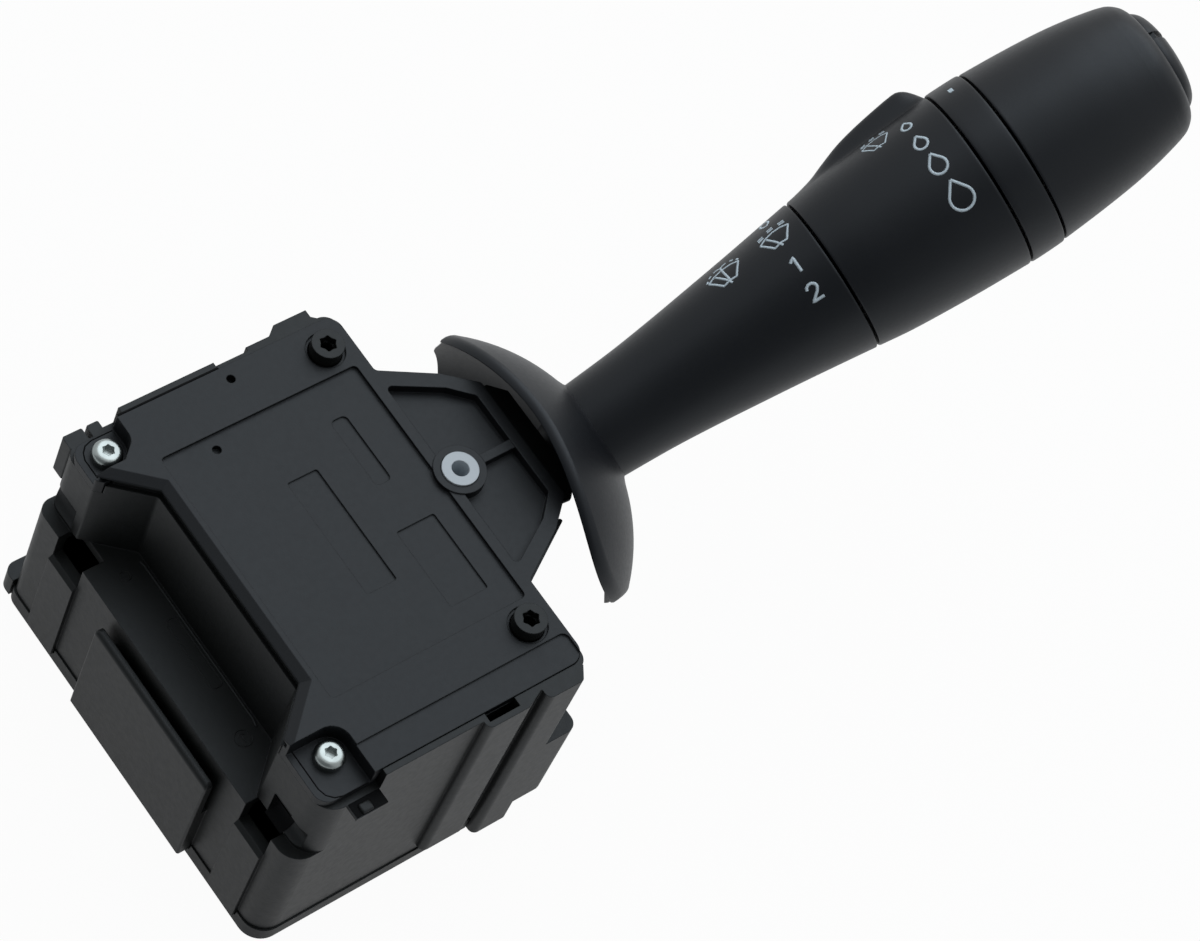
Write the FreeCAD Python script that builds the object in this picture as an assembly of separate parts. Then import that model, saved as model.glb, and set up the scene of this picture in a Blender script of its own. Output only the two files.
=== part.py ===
import FreeCAD, Part
import math
import os
from FreeCAD import Placement, Rotation, Vector

# Combination stalk switch for a steering column, in millimetres.
# All places are first given from the tilt axis where it meets the face of the cover plate.
# The finished pieces are then moved so that the origin is on the floor of the guide channel,
# which the steering column's rail holds.

# Guide channel and origin
DATUM = Vector(-47.5, 0.0, -20.0)

# Walls and clearances
WALL = 1.8
RUNNING = 0.07
LOOSE = 0.2
GAP = 0.3

# Housing outline
REAR_UPPER_X = -51.2
REAR_LOWER_X = -53.5
FRONT_X = -1.6
SIDE_LOW_Y = -37.6
SIDE_HIGH_Y = 33.8
CHANNEL_WALL_X = -43.8
CHANNEL_LOW_Y = -18.4
CHANNEL_HIGH_Y = 19.1
CHANNEL_SLOPE = 6.6
CHANNEL_FLOOR_Z = DATUM.z
HOUSING_BOTTOM_Z = -48.5
CORNER_R = 4.0
EDGE_R = 2.5

# Nose round the tilt axis
NOSE_TIP_X = 12.7
NOSE_TIP_HALF = 11.5
NOSE_SHOULDER_X = 7.5
NOSE_SHOULDER_Y = 16.0
NOSE_ROOT_Y = 21.3
NECK_WINDOW_TOP_Z = -5.0
NECK_WINDOW_LOW_Z = -41.0
NOSE_BLADE_T = 0.7
NOSE_BLADE_H = 14.0
NOSE_BLADE_DROP = 0.4
NOSE_BLADE_REACH = 3.8

# Cover plate
COVER_T = 2.0
RIM_W = 1.2
RIM_TOP_Z = -0.6
COVER_BEVEL = 1.7
COVER_BEVEL_DEPTH = 0.9
SHADOW_GAP_H = 0.9
SHADOW_GAP_DEPTH = 0.8
PANEL_DEPTH = 0.6
MARK_DEPTH = 0.3
STRIP_DEPTH = 0.4
NOSE_PLATE_T = 3.5
NOSE_POCKET_DEPTH = 1.7
SCREW_POCKET_DEPTH = 3.5
SCREW_TAB_T = 1.5
POCKET_WALL = 1.2
PIN_HOLE_R = 0.75

# Cover screws
SCREW_HEAD_R = 2.5
SCREW_HEAD_H = 2.0
SCREW_SHANK_R = 1.35
SCREW_LENGTH = 12.0
SCREW_DRIVE_R = 1.1
SCREW_DRIVE_DEPTH = 1.2
COVER_SCREWS = [Vector(-46.7, 29.2, 0), Vector(-45.7, -30.1, 0)]

# Fastening bosses that stand through the cover
BOSS_R = 2.7
BOSS_H = 2.0
BOSS_BORE_R = 1.2
BOSS_BORE_DEPTH = 12.0
BOSS_STAR_R = 1.55
BOSS_STAR_DEPTH = 1.5
BOSS_TOWER_R = 4.2
BOSS_X = -6.6
BOSS_LOW_Y = -27.5
BOSS_SPACING_Y = 55.5

# Side panels, wing and tab plate
PANEL_2_Y = -39.1
PANEL_2_LOW_X = -22.4
PANEL_2_HIGH_X = -14.6
PANEL_2_BOTTOM_Z = -44.0
PANEL_3_Y = -39.5
PANEL_3_LOW_X = -11.0
PANEL_3_HIGH_X = -4.2
WING_X = 2.2
WING_TOP_Z = -22.2
WING_BOTTOM_Z = -42.7
WING_DEPTH = 11.0
TAB_X = -56.0
TAB_T = 1.4
TAB_LOW_Y = -19.2
TAB_HIGH_Y = 12.0
TAB_TOP_Z = -23.2
TAB_BOTTOM_Z = -46.7
TAB_SLOT_DEPTH = 10.0
WINDOW_LIP_Z = -25.2
WINDOW_INNER_X = -49.5
WINDOW_W = 6.9
WINDOW_LOW_Y = -32.2
WINDOW_HIGH_Y = 20.3
SNAP_PANEL_T = 0.8
SCOOP_R = 3.0
HIGH_RAIL_T = 0.7
HIGH_LUG_T = 2.1
HIGH_FOOT_T = 2.6
DETAIL_ROOT = 0.4

# Base cover
BASE_T = 3.0
BASE_RIM_PROUD = 0.25
BASE_BOSS_R = 4.8
BASE_SCREW_R = 1.2
BASE_SCREW_HEAD_H = 1.4
BASE_SCREW_GRIP = 8.0
BASE_POST_R = 3.4
BASE_POST_X = -14.0
BASE_POST_H = 16.0
REAR_SCREW_X = -50.0

# Connector on the underside
SOCKET_X = -43.0
SOCKET_Y = 0.0
SOCKET_IN_X = 9.0
SOCKET_IN_Y = 31.0
SOCKET_WALL = 1.5
SOCKET_DEPTH = 11.0
SOCKET_ROOF_T = 2.2
PIN_ROWS = 2
PINS_PER_ROW = 7
PIN_PITCH = 4.0
PIN_ROW_PITCH = 6.0
PIN_W = 1.2
PIN_T = 0.8

# Contact board
BOARD_T = 1.6
BOARD_TOP_Z = -42.5
BOARD_LOW_X = -36.0
BOARD_HIGH_X = 4.0
BOARD_HALF_Y = 24.0
BOARD_HOLE_R = 5.4
TRACK_T = 0.2
CONTACT_STRIPS = 6
CONTACT_STRIP_PITCH = 3.6
CONTACT_STRIP_W = 2.4
CONTACT_STRIP_LENGTH = 14.0

# Tilt carrier
STALK_AZIMUTH = -3.7
PULL_AXIS_Z = -23.0
TRUNNION_R = 3.05
TRUNNION_BORE_R = 1.45
TRUNNION_TOP_Z = 0.5
BUSH_RING_R = 4.4
CARRIER_HALF_Y = 8.0
CARRIER_FRONT_X = 7.0
CARRIER_REAR_X = -16.5
CARRIER_ROOF_Z = -11.0
CARRIER_TOP_Z = -5.0
CARRIER_BOTTOM_Z = -38.5
SLOT_HALF_Y = 4.9
PEG_REACH = 14.6
PEG_R = 1.4
PEG_LENGTH = 3.0
DETENT_Z = -12.5
DETENT_BORE_R = 2.0
DETENT_TIP_R = 17.0
TRACK_VALLEY_R = 18.0
TRACK_RIDGE = 0.45
TRACK_STEP = 5.5
TRACK_WALL = 2.6
TRACK_BACK_R = TRACK_VALLEY_R + TRACK_WALL
PULL_PLUNGER_REACH = 11.0
PULL_PLUNGER_R = 2.4
PULL_PLUNGER_TOP_Z = -25.3
PULL_PLUNGER_LENGTH = 7.0
PULL_BORE_BOTTOM_Z = -37.2

# Tilt slider
SLIDER_TOP_Z = -39.0
SLIDER_BOTTOM_Z = -42.0
SLIDER_LOW_X = -28.5
SLIDER_HIGH_X = -11.0
SLIDER_HALF_Y = 5.5

# Lever, measured along its axis from the pull axis
STALK_ELEVATION = 29.0
HUB_R = 4.6
HUB_HALF_Y = 4.6
PULL_PIN_R = 1.5
NECK_R = 4.3
NECK_END_R = 6.4
CORE_TUBE_R = 5.6
CORE_TUBE_BORE_R = 4.1
GUARD_R = 33.6
GUARD_T = 1.3
GUARD_HALF_W = 27.0
GUARD_HALF_H = 19.6
GUARD_FULLNESS = 2.6
GUARD_NOSE_GAP = 1.0
SLEEVE_START = GUARD_R - 0.6
CORE_END = SLEEVE_START + 11.0
SLEEVE_LENGTH = 45.2
SEAM = 0.4
RING_LENGTH = 27.7
INDEX_LENGTH = 6.1
KNOB_LENGTH = 27.9
SLEEVE_END = SLEEVE_START + SLEEVE_LENGTH
RING_START = SLEEVE_END + SEAM
RING_END = RING_START + RING_LENGTH
INDEX_START = RING_END + SEAM
INDEX_END = INDEX_START + INDEX_LENGTH
KNOB_START = INDEX_END + SEAM
KNOB_END = KNOB_START + KNOB_LENGTH
SHELL_T = 2.2
SLEEVE_ROOT_R = 8.7
SLEEVE_END_R = 13.67
RING_START_R = 13.7
RING_END_R = 15.9
INDEX_R = 15.95
KNOB_START_R = 15.7
KNOB_SHOULDER_R = 12.7
KNOB_SHOULDER_LENGTH = 3.8
KNOB_POCKET_DEPTH = 9.1
FIN_ANGLE = 76.0
FIN_FOOT_HALF = 4.3
FIN_TOP_HALF = 1.3
FIN_HEIGHT = 4.0
CORE_TUBE_END = KNOB_END - 7.1
BUTTON_R = 9.2
BUTTON_DOME_H = 3.3
BUTTON_SKIRT = 5.1
BUTTON_STEM_R = 3.9
BUTTON_STEM_LENGTH = 13.5
BUTTON_SEAT = KNOB_END - 1.5
BUTTON_SPRING_R = 4.9
BUTTON_SPRING_LENGTH = 4.0
BUTTON_LEAF_T = 0.3
BUTTON_LEAF_W = 1.3
BUTTON_LEAF_LENGTH = 5.6
STALK_BOARD_W = 7.8
STALK_BOARD_T = 1.1
NOTCH_W = 1.3
NOTCH_Y = 2.4
NOTCH_DEPTH = 1.1

# Rubbing contacts of ring and knob
RING_WIPER_X = RING_START + 13.4
KNOB_WIPER_X = KNOB_START + 6.8
WIPER_T = 0.4
WIPER_R = 11.8
WIPER_BORE_R = 7.0
WIPER_FINGER_W = 1.6
WIPER_FINGER_IN_R = 7.6
WIPER_FINGER_OUT_R = 9.6
DISC_T = 1.4
DISC_R = 10.2

# Springs
WIRE_R = 0.35


def box(x0, x1, y0, y1, z0, z1):
    return Part.makeBox(x1 - x0, y1 - y0, z1 - z0, Vector(x0, y0, z0))


def rod(start, direction, radius, length):
    return Part.makeCylinder(radius, length, start, direction)


def post(x, y, z0, z1, radius):
    return Part.makeCylinder(radius, z1 - z0, Vector(x, y, z0), Vector(0, 0, 1))


def join(shapes):
    result = shapes[0]
    if len(shapes) > 1:
        result = shapes[0].fuse(shapes[1:])
    return result.removeSplitter()


def carve(shape, tools):
    return shape.cut(join(tools)).removeSplitter()


def outline(corners):
    """A closed flat wire through corners (x, y, radius), with each corner rounded by its radius."""
    count = len(corners)
    edges = []
    ends = []
    for i in range(count):
        x, y, radius = corners[i]
        here = Vector(x, y, 0)
        before = Vector(*corners[i - 1][:2], 0) - here
        after = Vector(*corners[(i + 1) % count][:2], 0) - here
        before.normalize()
        after.normalize()
        half = before.getAngle(after) / 2
        back = radius / math.tan(half)
        start = here + before * back
        end = here + after * back
        middle = before + after
        middle.normalize()
        top = here + middle * (radius / math.sin(half) - radius)
        ends.append((start, top, end, radius))
    for i in range(count):
        start, top, end, radius = ends[i]
        if radius > 0:
            edges.append(Part.Arc(start, top, end).toShape())
        following = ends[(i + 1) % count][0]
        if end.distanceToPoint(following) > 1e-6:
            edges.append(Part.LineSegment(end, following).toShape())
    return Part.Wire(Part.__sortEdges__(edges))


def prism(corners, z0, z1):
    face = Part.Face(outline(corners))
    solid = face.extrude(Vector(0, 0, z1 - z0))
    solid.translate(Vector(0, 0, z0))
    return solid


def rounded_box(x0, x1, y0, y1, z0, z1, radius):
    return prism([(x0, y0, radius), (x1, y0, radius), (x1, y1, radius), (x0, y1, radius)], z0, z1)


def inset_prism(corners, inset, z0, z1):
    wire = outline(corners).makeOffset2D(-inset, 2)
    solid = Part.Face(wire).extrude(Vector(0, 0, z1 - z0))
    solid.translate(Vector(0, 0, z0))
    return solid


def turned(profile):
    """A body of revolution about X from points (x, radius), closed down to the axis."""
    points = [Vector(profile[0][0], 0, 0)]
    points += [Vector(x, 0, radius) for x, radius in profile]
    points.append(Vector(profile[-1][0], 0, 0))
    points.append(points[0])
    face = Part.Face(Part.makePolygon(points))
    return face.revolve(Vector(0, 0, 0), Vector(1, 0, 0), 360)


def turned_smooth(*profiles):
    """A body of revolution about X whose outer line is a smooth curve through each profile in turn."""
    edges = []
    for profile in profiles:
        curve = Part.BSplineCurve()
        curve.interpolate([Vector(x, 0, radius) for x, radius in profile])
        edges.append(curve.toShape())
    first = Vector(profiles[0][0][0], 0, profiles[0][0][1])
    last = Vector(profiles[-1][-1][0], 0, profiles[-1][-1][1])
    start = Vector(first.x, 0, 0)
    end = Vector(last.x, 0, 0)
    edges.insert(0, Part.LineSegment(start, first).toShape())
    edges.append(Part.LineSegment(last, end).toShape())
    edges.append(Part.LineSegment(end, start).toShape())
    face = Part.Face(Part.Wire(edges))
    return face.revolve(Vector(0, 0, 0), Vector(1, 0, 0), 360)


def swell(start, length, start_r, end_r, steps):
    """Points (x, radius) of a line that grows from one radius to another by shares of both."""
    return [(start + along * length, start_r + share * (end_r - start_r)) for along, share in steps]


def shaft(x0, x1, radius):
    return Part.makeCylinder(radius, x1 - x0, Vector(x0, 0, 0), Vector(1, 0, 0))


def ring_along(x0, x1, outer, inner):
    return shaft(x0, x1, outer).cut(shaft(x0 - 1, x1 + 1, inner))


def spring(radius, length, turns):
    """A wire spring along Z from the origin."""
    pitch = (length - 2 * WIRE_R) / turns
    helix = Part.makeHelix(pitch, pitch * turns, radius)
    start = Vector(radius, 0, 0)
    profile = Part.Wire(Part.makeCircle(WIRE_R, start, Vector(0, 1, 0)))
    coil = Part.Wire(helix).makePipeShell([profile], True, True)
    coil.translate(Vector(0, 0, WIRE_R))
    return coil


def in_carrier(shape):
    """Turn a piece drawn about the tilt axis with X along the lever to its azimuth."""
    placed = shape.copy()
    placed.rotate(Vector(0, 0, 0), Vector(0, 0, 1), STALK_AZIMUTH)
    return placed


def in_lever(shape):
    """Lay a piece drawn along X from the pull axis on the lever's axis."""
    placed = shape.copy()
    placed.rotate(Vector(0, 0, 0), Vector(0, 1, 0), -STALK_ELEVATION)
    placed.translate(Vector(0, 0, PULL_AXIS_Z))
    return in_carrier(placed)


def star_cutter(x, y, z0, z1, radius):
    """A six-lobe drive recess."""
    corners = []
    for i in range(12):
        angle = math.radians(30 * i)
        reach = radius if i % 2 == 0 else radius * 0.78
        soft = radius * 0.12 if i % 2 == 0 else radius * 0.1
        corners.append((x + reach * math.cos(angle), y + reach * math.sin(angle), soft))
    return prism(corners, z0, z1)


# Shared outlines

def nose_corners(tip_x, tip_half, shoulder_x, shoulder_y, root_y):
    return [(FRONT_X, -root_y, 1.0), (shoulder_x, -shoulder_y, 1.5), (tip_x, -tip_half, 0.8),
            (tip_x, tip_half, 0.8), (shoulder_x, shoulder_y, 1.5), (FRONT_X, root_y, 1.0)]


NOSE = nose_corners(NOSE_TIP_X, NOSE_TIP_HALF, NOSE_SHOULDER_X, NOSE_SHOULDER_Y, NOSE_ROOT_Y)


def rear_channel(rear_x, wall_x):
    slope_high = CHANNEL_HIGH_Y + CHANNEL_SLOPE
    slope_low = CHANNEL_LOW_Y - CHANNEL_SLOPE
    return [(rear_x, slope_high, 0.5), (wall_x, CHANNEL_HIGH_Y, 0.8), (wall_x, CHANNEL_LOW_Y, 0.8),
            (rear_x, slope_low, 0.5)]


def upper_outline():
    corners = [(REAR_UPPER_X, SIDE_LOW_Y, CORNER_R), (FRONT_X, SIDE_LOW_Y, EDGE_R)]
    corners += NOSE
    corners += [(FRONT_X, SIDE_HIGH_Y, EDGE_R), (REAR_UPPER_X, SIDE_HIGH_Y, EDGE_R)]
    return corners + rear_channel(REAR_UPPER_X, CHANNEL_WALL_X)


def lower_outline(proud):
    low_y = SIDE_LOW_Y - proud
    high_y = SIDE_HIGH_Y + proud
    rear_x = REAR_LOWER_X - proud
    corners = [(rear_x, low_y, CORNER_R), (FRONT_X, low_y, EDGE_R)]
    corners += NOSE
    return corners + [(FRONT_X, high_y, EDGE_R), (rear_x, high_y, EDGE_R)]


def cover_outline():
    low_y = SIDE_LOW_Y + RIM_W
    high_y = SIDE_HIGH_Y - RIM_W + 0.4
    corners = [(REAR_UPPER_X, low_y, EDGE_R), (FRONT_X, low_y, EDGE_R)]
    corners += NOSE
    corners += [(FRONT_X, high_y, EDGE_R), (REAR_UPPER_X, high_y, EDGE_R)]
    return corners + rear_channel(REAR_UPPER_X, CHANNEL_WALL_X)


def channel_room(grow):
    """The open plan of the guide channel, widened by grow and run out past the rear."""
    slope = CHANNEL_SLOPE / (CHANNEL_WALL_X - REAR_UPPER_X)
    far = CHANNEL_WALL_X - 14.0
    reach = (CHANNEL_WALL_X - far) * slope
    corners = [(far, CHANNEL_HIGH_Y + reach, 0), (CHANNEL_WALL_X, CHANNEL_HIGH_Y, 0),
               (CHANNEL_WALL_X, CHANNEL_LOW_Y, 0), (far, CHANNEL_LOW_Y - reach, 0)]
    wire = outline(corners)
    return wire.makeOffset2D(grow, 2) if grow > 0 else wire


def shadow_gap(z0, z1):
    gap = Part.Face(channel_room(SHADOW_GAP_DEPTH)).extrude(Vector(0, 0, z1 - z0))
    gap.translate(Vector(0, 0, z0))
    return gap


def cavity_corners(rear_x):
    """The hollow of the housing, from the wall behind rear_x to the nose."""
    front = FRONT_X - WALL
    low_y = SIDE_LOW_Y + WALL
    high_y = SIDE_HIGH_Y - WALL
    root = NOSE_ROOT_Y - WALL
    return [(rear_x, low_y, 1.5), (front, low_y, 1.5), (front, -root, 0.8),
            (NOSE_SHOULDER_X - 0.6, -NOSE_SHOULDER_Y + WALL, 0.8), (NOSE_TIP_X - WALL, -NOSE_TIP_HALF + 1.2, 0.5),
            (NOSE_TIP_X - WALL, NOSE_TIP_HALF - 1.2, 0.5), (NOSE_SHOULDER_X - 0.6, NOSE_SHOULDER_Y - WALL, 0.8),
            (front, root, 0.8), (front, high_y, 1.5), (rear_x, high_y, 1.5)]


BOSSES = [(BOSS_X, BOSS_LOW_Y), (BOSS_X, BOSS_LOW_Y + BOSS_SPACING_Y)]
BASE_TOP_Z = HOUSING_BOTTOM_Z + BASE_T
BASE_SEAT_H = BOARD_TOP_Z - BOARD_T - GAP - BASE_TOP_Z
TAB_FLOOR_Z = -SCREW_POCKET_DEPTH
TAB_UNDER_Z = TAB_FLOOR_Z - SCREW_TAB_T
BASE_POSTS = [Vector(BASE_POST_X, SIDE_HIGH_Y - 5.0, 0), Vector(BASE_POST_X, SIDE_LOW_Y + 5.0, 0)]
BASE_SCREWS = [Vector(REAR_SCREW_X, SIDE_HIGH_Y - 4.0, 0), Vector(REAR_SCREW_X, SIDE_LOW_Y + 4.2, 0)] + BASE_POSTS


def screw_pockets(z0, z1, grow):
    """The two rounded corner pockets of the cover."""
    high = [(REAR_UPPER_X - 3, 26.0 - grow, 0), (-46.0, 26.0 - grow, 0), (-43.0 + grow, 28.6, 2.4),
            (-43.0 + grow, SIDE_HIGH_Y + 3, 0), (REAR_UPPER_X - 3, SIDE_HIGH_Y + 3, 0)]
    low = [(REAR_UPPER_X - 3, SIDE_LOW_Y - 3, 0), (-42.2 + grow, SIDE_LOW_Y - 3, 0),
           (-42.2 + grow, -26.6 + grow, 3.2), (REAR_UPPER_X - 3, -26.6 + grow, 0)]
    return join([prism(high, z0, z1), prism(low, z0, z1)])


def rear_panel_sides():
    return [(y, y + WINDOW_W) for y in (WINDOW_LOW_Y, WINDOW_HIGH_Y)]


def guide_windows():
    return [box(REAR_LOWER_X - 2, WINDOW_INNER_X, y0, y1, WINDOW_LIP_Z, CHANNEL_FLOOR_Z + 0.1)
            for y0, y1 in rear_panel_sides()]


def rear_details():
    """Tab plate and the two snap panels on the rear wall of the lower housing."""
    inner_x = TAB_X + TAB_T
    plate = rounded_box(TAB_X, REAR_LOWER_X + 0.5, TAB_LOW_Y, TAB_HIGH_Y, TAB_BOTTOM_Z, TAB_TOP_Z, 0.4)
    top_edges = [e for e in plate.Edges if e.BoundBox.ZMin > TAB_TOP_Z - 0.01 and e.BoundBox.XMax < TAB_X + 0.1]
    plate = plate.makeFillet(0.9, top_edges)
    slot = box(inner_x, REAR_LOWER_X, TAB_LOW_Y - 1, TAB_HIGH_Y + 1, TAB_TOP_Z - TAB_SLOT_DEPTH, TAB_TOP_Z + 1)
    parts = [plate.cut(slot)]
    for y0, y1 in rear_panel_sides():
        panel = box(REAR_LOWER_X - SNAP_PANEL_T, REAR_LOWER_X + 0.5, y0, y1, TAB_BOTTOM_Z, WINDOW_LIP_Z)
        lip = [e for e in panel.Edges if e.BoundBox.ZMin > WINDOW_LIP_Z - 0.01
               and e.BoundBox.XMax < REAR_LOWER_X - SNAP_PANEL_T + 0.01]
        parts.append(panel.makeChamfer(0.7, lip))
    return parts


def low_side_details():
    """Panels and wing on the side that faces down in the car."""
    top = RIM_TOP_Z
    root = SIDE_LOW_Y + DETAIL_ROOT
    panel_2 = prism([(PANEL_2_LOW_X, root, 0), (PANEL_2_LOW_X, PANEL_2_Y, 1.2), (PANEL_2_HIGH_X, PANEL_2_Y, 1.0),
                     (PANEL_3_LOW_X - 0.3, SIDE_LOW_Y, 0), (PANEL_3_LOW_X - 0.3, root, 0)],
                    PANEL_2_BOTTOM_Z, top)
    panel_3 = prism([(PANEL_3_LOW_X, root, 0), (PANEL_3_LOW_X, PANEL_3_Y, 1.2), (PANEL_3_HIGH_X, PANEL_3_Y, 0.8),
                     (FRONT_X - 1.0, root, 0)], HOUSING_BOTTOM_Z, top)
    wing = prism([(PANEL_3_HIGH_X - 0.5, PANEL_3_Y, 0), (WING_X, PANEL_3_Y, 2.0),
                  (WING_X, PANEL_3_Y + WING_DEPTH, 1.0), (FRONT_X - 1.0, PANEL_3_Y + WING_DEPTH, 0)],
                 WING_BOTTOM_Z, WING_TOP_Z)
    clip = box(-47.0, -42.8, SIDE_LOW_Y - 2.6, SIDE_LOW_Y + 0.5, -5.6, -1.2)
    hollow = box(-46.0, -43.8, SIDE_LOW_Y - 4.0, SIDE_LOW_Y - 1.0, -4.6, -0.5)
    return [panel_2, panel_3, wing, clip.cut(hollow)]


def high_side_details():
    """Lugs, rail and foot on the side that faces up in the car."""
    y = SIDE_HIGH_Y - DETAIL_ROOT
    rail_y = SIDE_HIGH_Y + HIGH_RAIL_T
    lug_y = SIDE_HIGH_Y + HIGH_LUG_T
    foot_y = SIDE_HIGH_Y + HIGH_FOOT_T
    parts = []
    for x0, x1 in ((-50.2, -46.6), (-45.8, -43.6)):
        parts.append(rounded_box(x0, x1, y, lug_y, -14.0, -1.0, 0.3))
    parts.append(box(-43.6, -23.7, y, rail_y, -40.0, RIM_TOP_Z))
    parts.append(prism([(-17.5, y, 0), (-3.6, y, 0), (-4.9, rail_y, 0), (-4.9, lug_y, 0), (-11.2, lug_y, 0),
                        (-13.0, rail_y, 0), (-17.5, rail_y, 0)], -40.0, RIM_TOP_Z))
    parts.append(prism([(REAR_LOWER_X, y, 0), (-38.0, y, 0), (-39.5, foot_y, 1.0), (REAR_LOWER_X, foot_y, 2.0)],
                       HOUSING_BOTTOM_Z, -44.0))
    return parts


def nose_blade():
    """A thin blade that carries the low side of the nose on past its shoulder."""
    run = Vector(NOSE_SHOULDER_X - FRONT_X, NOSE_ROOT_Y - NOSE_SHOULDER_Y, 0)
    run.normalize()
    out = Vector(run.y, -run.x, 0) * (NOSE_BLADE_T * 0.5)
    root = Vector(FRONT_X, -NOSE_ROOT_Y, 0) + run * 1.5
    tip = Vector(NOSE_SHOULDER_X, -NOSE_SHOULDER_Y, 0) + run * NOSE_BLADE_REACH
    corners = [root + out, tip + out, tip - out, root - out]
    rounding = [0, NOSE_BLADE_T * 0.4, NOSE_BLADE_T * 0.4, 0]
    top = -COVER_T - NOSE_BLADE_DROP
    return prism([(p.x, p.y, r) for p, r in zip(corners, rounding)], top - NOSE_BLADE_H, top)


def scoops():
    """Dished steps at the foot of both corner posts."""
    centre_x = REAR_UPPER_X - 1.4
    centre_z = CHANNEL_FLOOR_Z + SCOOP_R + 0.2
    low = rod(Vector(centre_x, SIDE_LOW_Y + 1.8, centre_z), Vector(0, 1, 0), SCOOP_R, 8.0)
    high = rod(Vector(centre_x, SIDE_HIGH_Y - 6.4, centre_z), Vector(0, 1, 0), SCOOP_R, 10.0)
    return [low, high]


def make_housing():
    upper = prism(upper_outline(), CHANNEL_FLOOR_Z - 1.0, -COVER_T)
    lower = prism(lower_outline(0), BASE_TOP_Z, CHANNEL_FLOOR_Z)
    rim = prism(upper_outline(), -COVER_T, RIM_TOP_Z)
    cover_seat = inset_prism(cover_outline(), -0.1, -COVER_T, 1.0)
    rim = rim.cut(cover_seat)
    rim = rim.cut(screw_pockets(-COVER_T - 1, 1.0, 0.1))
    shell = join([upper, lower, rim, nose_blade()] + rear_details() + low_side_details() + high_side_details())
    upper_hollow = prism(cavity_corners(CHANNEL_WALL_X + WALL), CHANNEL_FLOOR_Z - WALL - 0.1, 0)
    lower_hollow = prism(cavity_corners(REAR_LOWER_X + WALL), BASE_TOP_Z - 1, CHANNEL_FLOOR_Z - WALL)
    hollows = [upper_hollow, lower_hollow]
    window = box(NOSE_TIP_X - WALL - 1, NOSE_TIP_X + 1, -NOSE_TIP_HALF + 1.2, NOSE_TIP_HALF - 1.2,
                 NECK_WINDOW_LOW_Z, NECK_WINDOW_TOP_Z)
    shell = carve(shell, hollows + [window] + guide_windows() + scoops())
    shell = shell.cut(screw_pockets(TAB_UNDER_Z, 1.0, POCKET_WALL + 0.15))
    slot = box(-21.5, -15.7, PANEL_2_Y + 1.0, SIDE_LOW_Y + RIM_W - 0.1, -14.0, 0)
    towers = [post(x, y, BASE_TOP_Z, -COVER_T, BOSS_TOWER_R) for x, y in BOSSES]
    towers += [post(x, y, -COVER_T, BOSS_H, BOSS_R) for x, y in BOSSES]
    towers += [post(p.x, p.y, BASE_TOP_Z, BASE_TOP_Z + BASE_POST_H, BASE_POST_R) for p in BASE_POSTS]
    shell = join([shell] + towers).cut(slot)
    bore_top = BOSS_H - BOSS_STAR_DEPTH
    cuts = [shadow_gap(-COVER_T - SHADOW_GAP_H, -COVER_T)]
    cuts += [post(x, y, BOSS_H - BOSS_BORE_DEPTH, bore_top, BOSS_BORE_R) for x, y in BOSSES]
    cuts += [star_cutter(x, y, BOSS_H - BOSS_STAR_DEPTH, BOSS_H + 1, BOSS_STAR_R) for x, y in BOSSES]
    for p in COVER_SCREWS:
        cuts.append(post(p.x, p.y, TAB_UNDER_Z - SCREW_LENGTH, 0, SCREW_SHANK_R + 0.05))
    for p in BASE_SCREWS:
        cuts.append(post(p.x, p.y, BASE_TOP_Z - 1, BASE_TOP_Z + BASE_SCREW_GRIP + 1.0, BASE_SCREW_R + 0.05))
    return carve(shell, cuts)


def make_cover():
    plate = prism(cover_outline(), -COVER_T, 0)
    nose_under = inset_prism(cavity_nose(), GAP, -NOSE_PLATE_T, -COVER_T)
    plate = join([plate, nose_under])
    pocket = screw_pockets(TAB_FLOOR_Z, 1.0, 0)
    plate = plate.cut(screw_pockets(-COVER_T - 1, 1.0, 0))
    tabs = prism(cover_outline(), TAB_UNDER_Z, 0)
    tabs = tabs.common(screw_pockets(TAB_UNDER_Z, 1.0, POCKET_WALL)).cut(pocket)
    plate = join([plate, tabs])
    front = FRONT_X
    cuts = []
    cuts.append(rounded_box(-41.2, -3.8, -23.3, 23.6, -PANEL_DEPTH, 1, 0.8))
    deeper = -PANEL_DEPTH - MARK_DEPTH
    cuts.append(rounded_box(-25.7, -20.0, -11.0, 11.0, deeper, 1, 0.4))
    cuts.append(rounded_box(-15.3, -8.0, -19.0, -4.2, deeper, 1, 0.4))
    cuts.append(rounded_box(-13.3, -10.3, 4.0, 17.0, deeper, 1, 0.9))
    cuts.append(prism([(-42.3, SIDE_LOW_Y, 0), (front - 0.4, SIDE_LOW_Y, 0), (front - 0.4, -31.3, 1.2),
                       (-42.3, -31.3, 0)], -STRIP_DEPTH, 1))
    cuts.append(inset_prism(nose_pocket(), 0, -NOSE_POCKET_DEPTH, 1))
    for x, y in ((-23.2, 30.5), (-32.1, 21.1)):
        cuts.append(post(x, y, -1.6, 1, PIN_HOLE_R))
    plate = carve(plate, cuts)
    rib = box(3.0, NOSE_TIP_X - 1.5, -0.7, 0.9, -NOSE_POCKET_DEPTH - 0.1, -0.15)
    ring = post(0, 0, -NOSE_PLATE_T, 0.25, BUSH_RING_R)
    plate = join([plate, rib, ring])
    cuts = [post(0, 0, -10, 2, TRUNNION_R + RUNNING)]
    for x, y in BOSSES:
        cuts.append(post(x, y, -10, 2, BOSS_R + 0.15))
        cuts.append(post(x, y, -0.5, 2, BOSS_R + 0.6))
    for p in COVER_SCREWS:
        cuts.append(post(p.x, p.y, -10, 2, SCREW_SHANK_R + 0.15))
    cuts.append(bevel_cutter())
    cuts.append(shadow_gap(-COVER_T, -COVER_BEVEL_DEPTH))
    return carve(plate, cuts)


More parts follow.
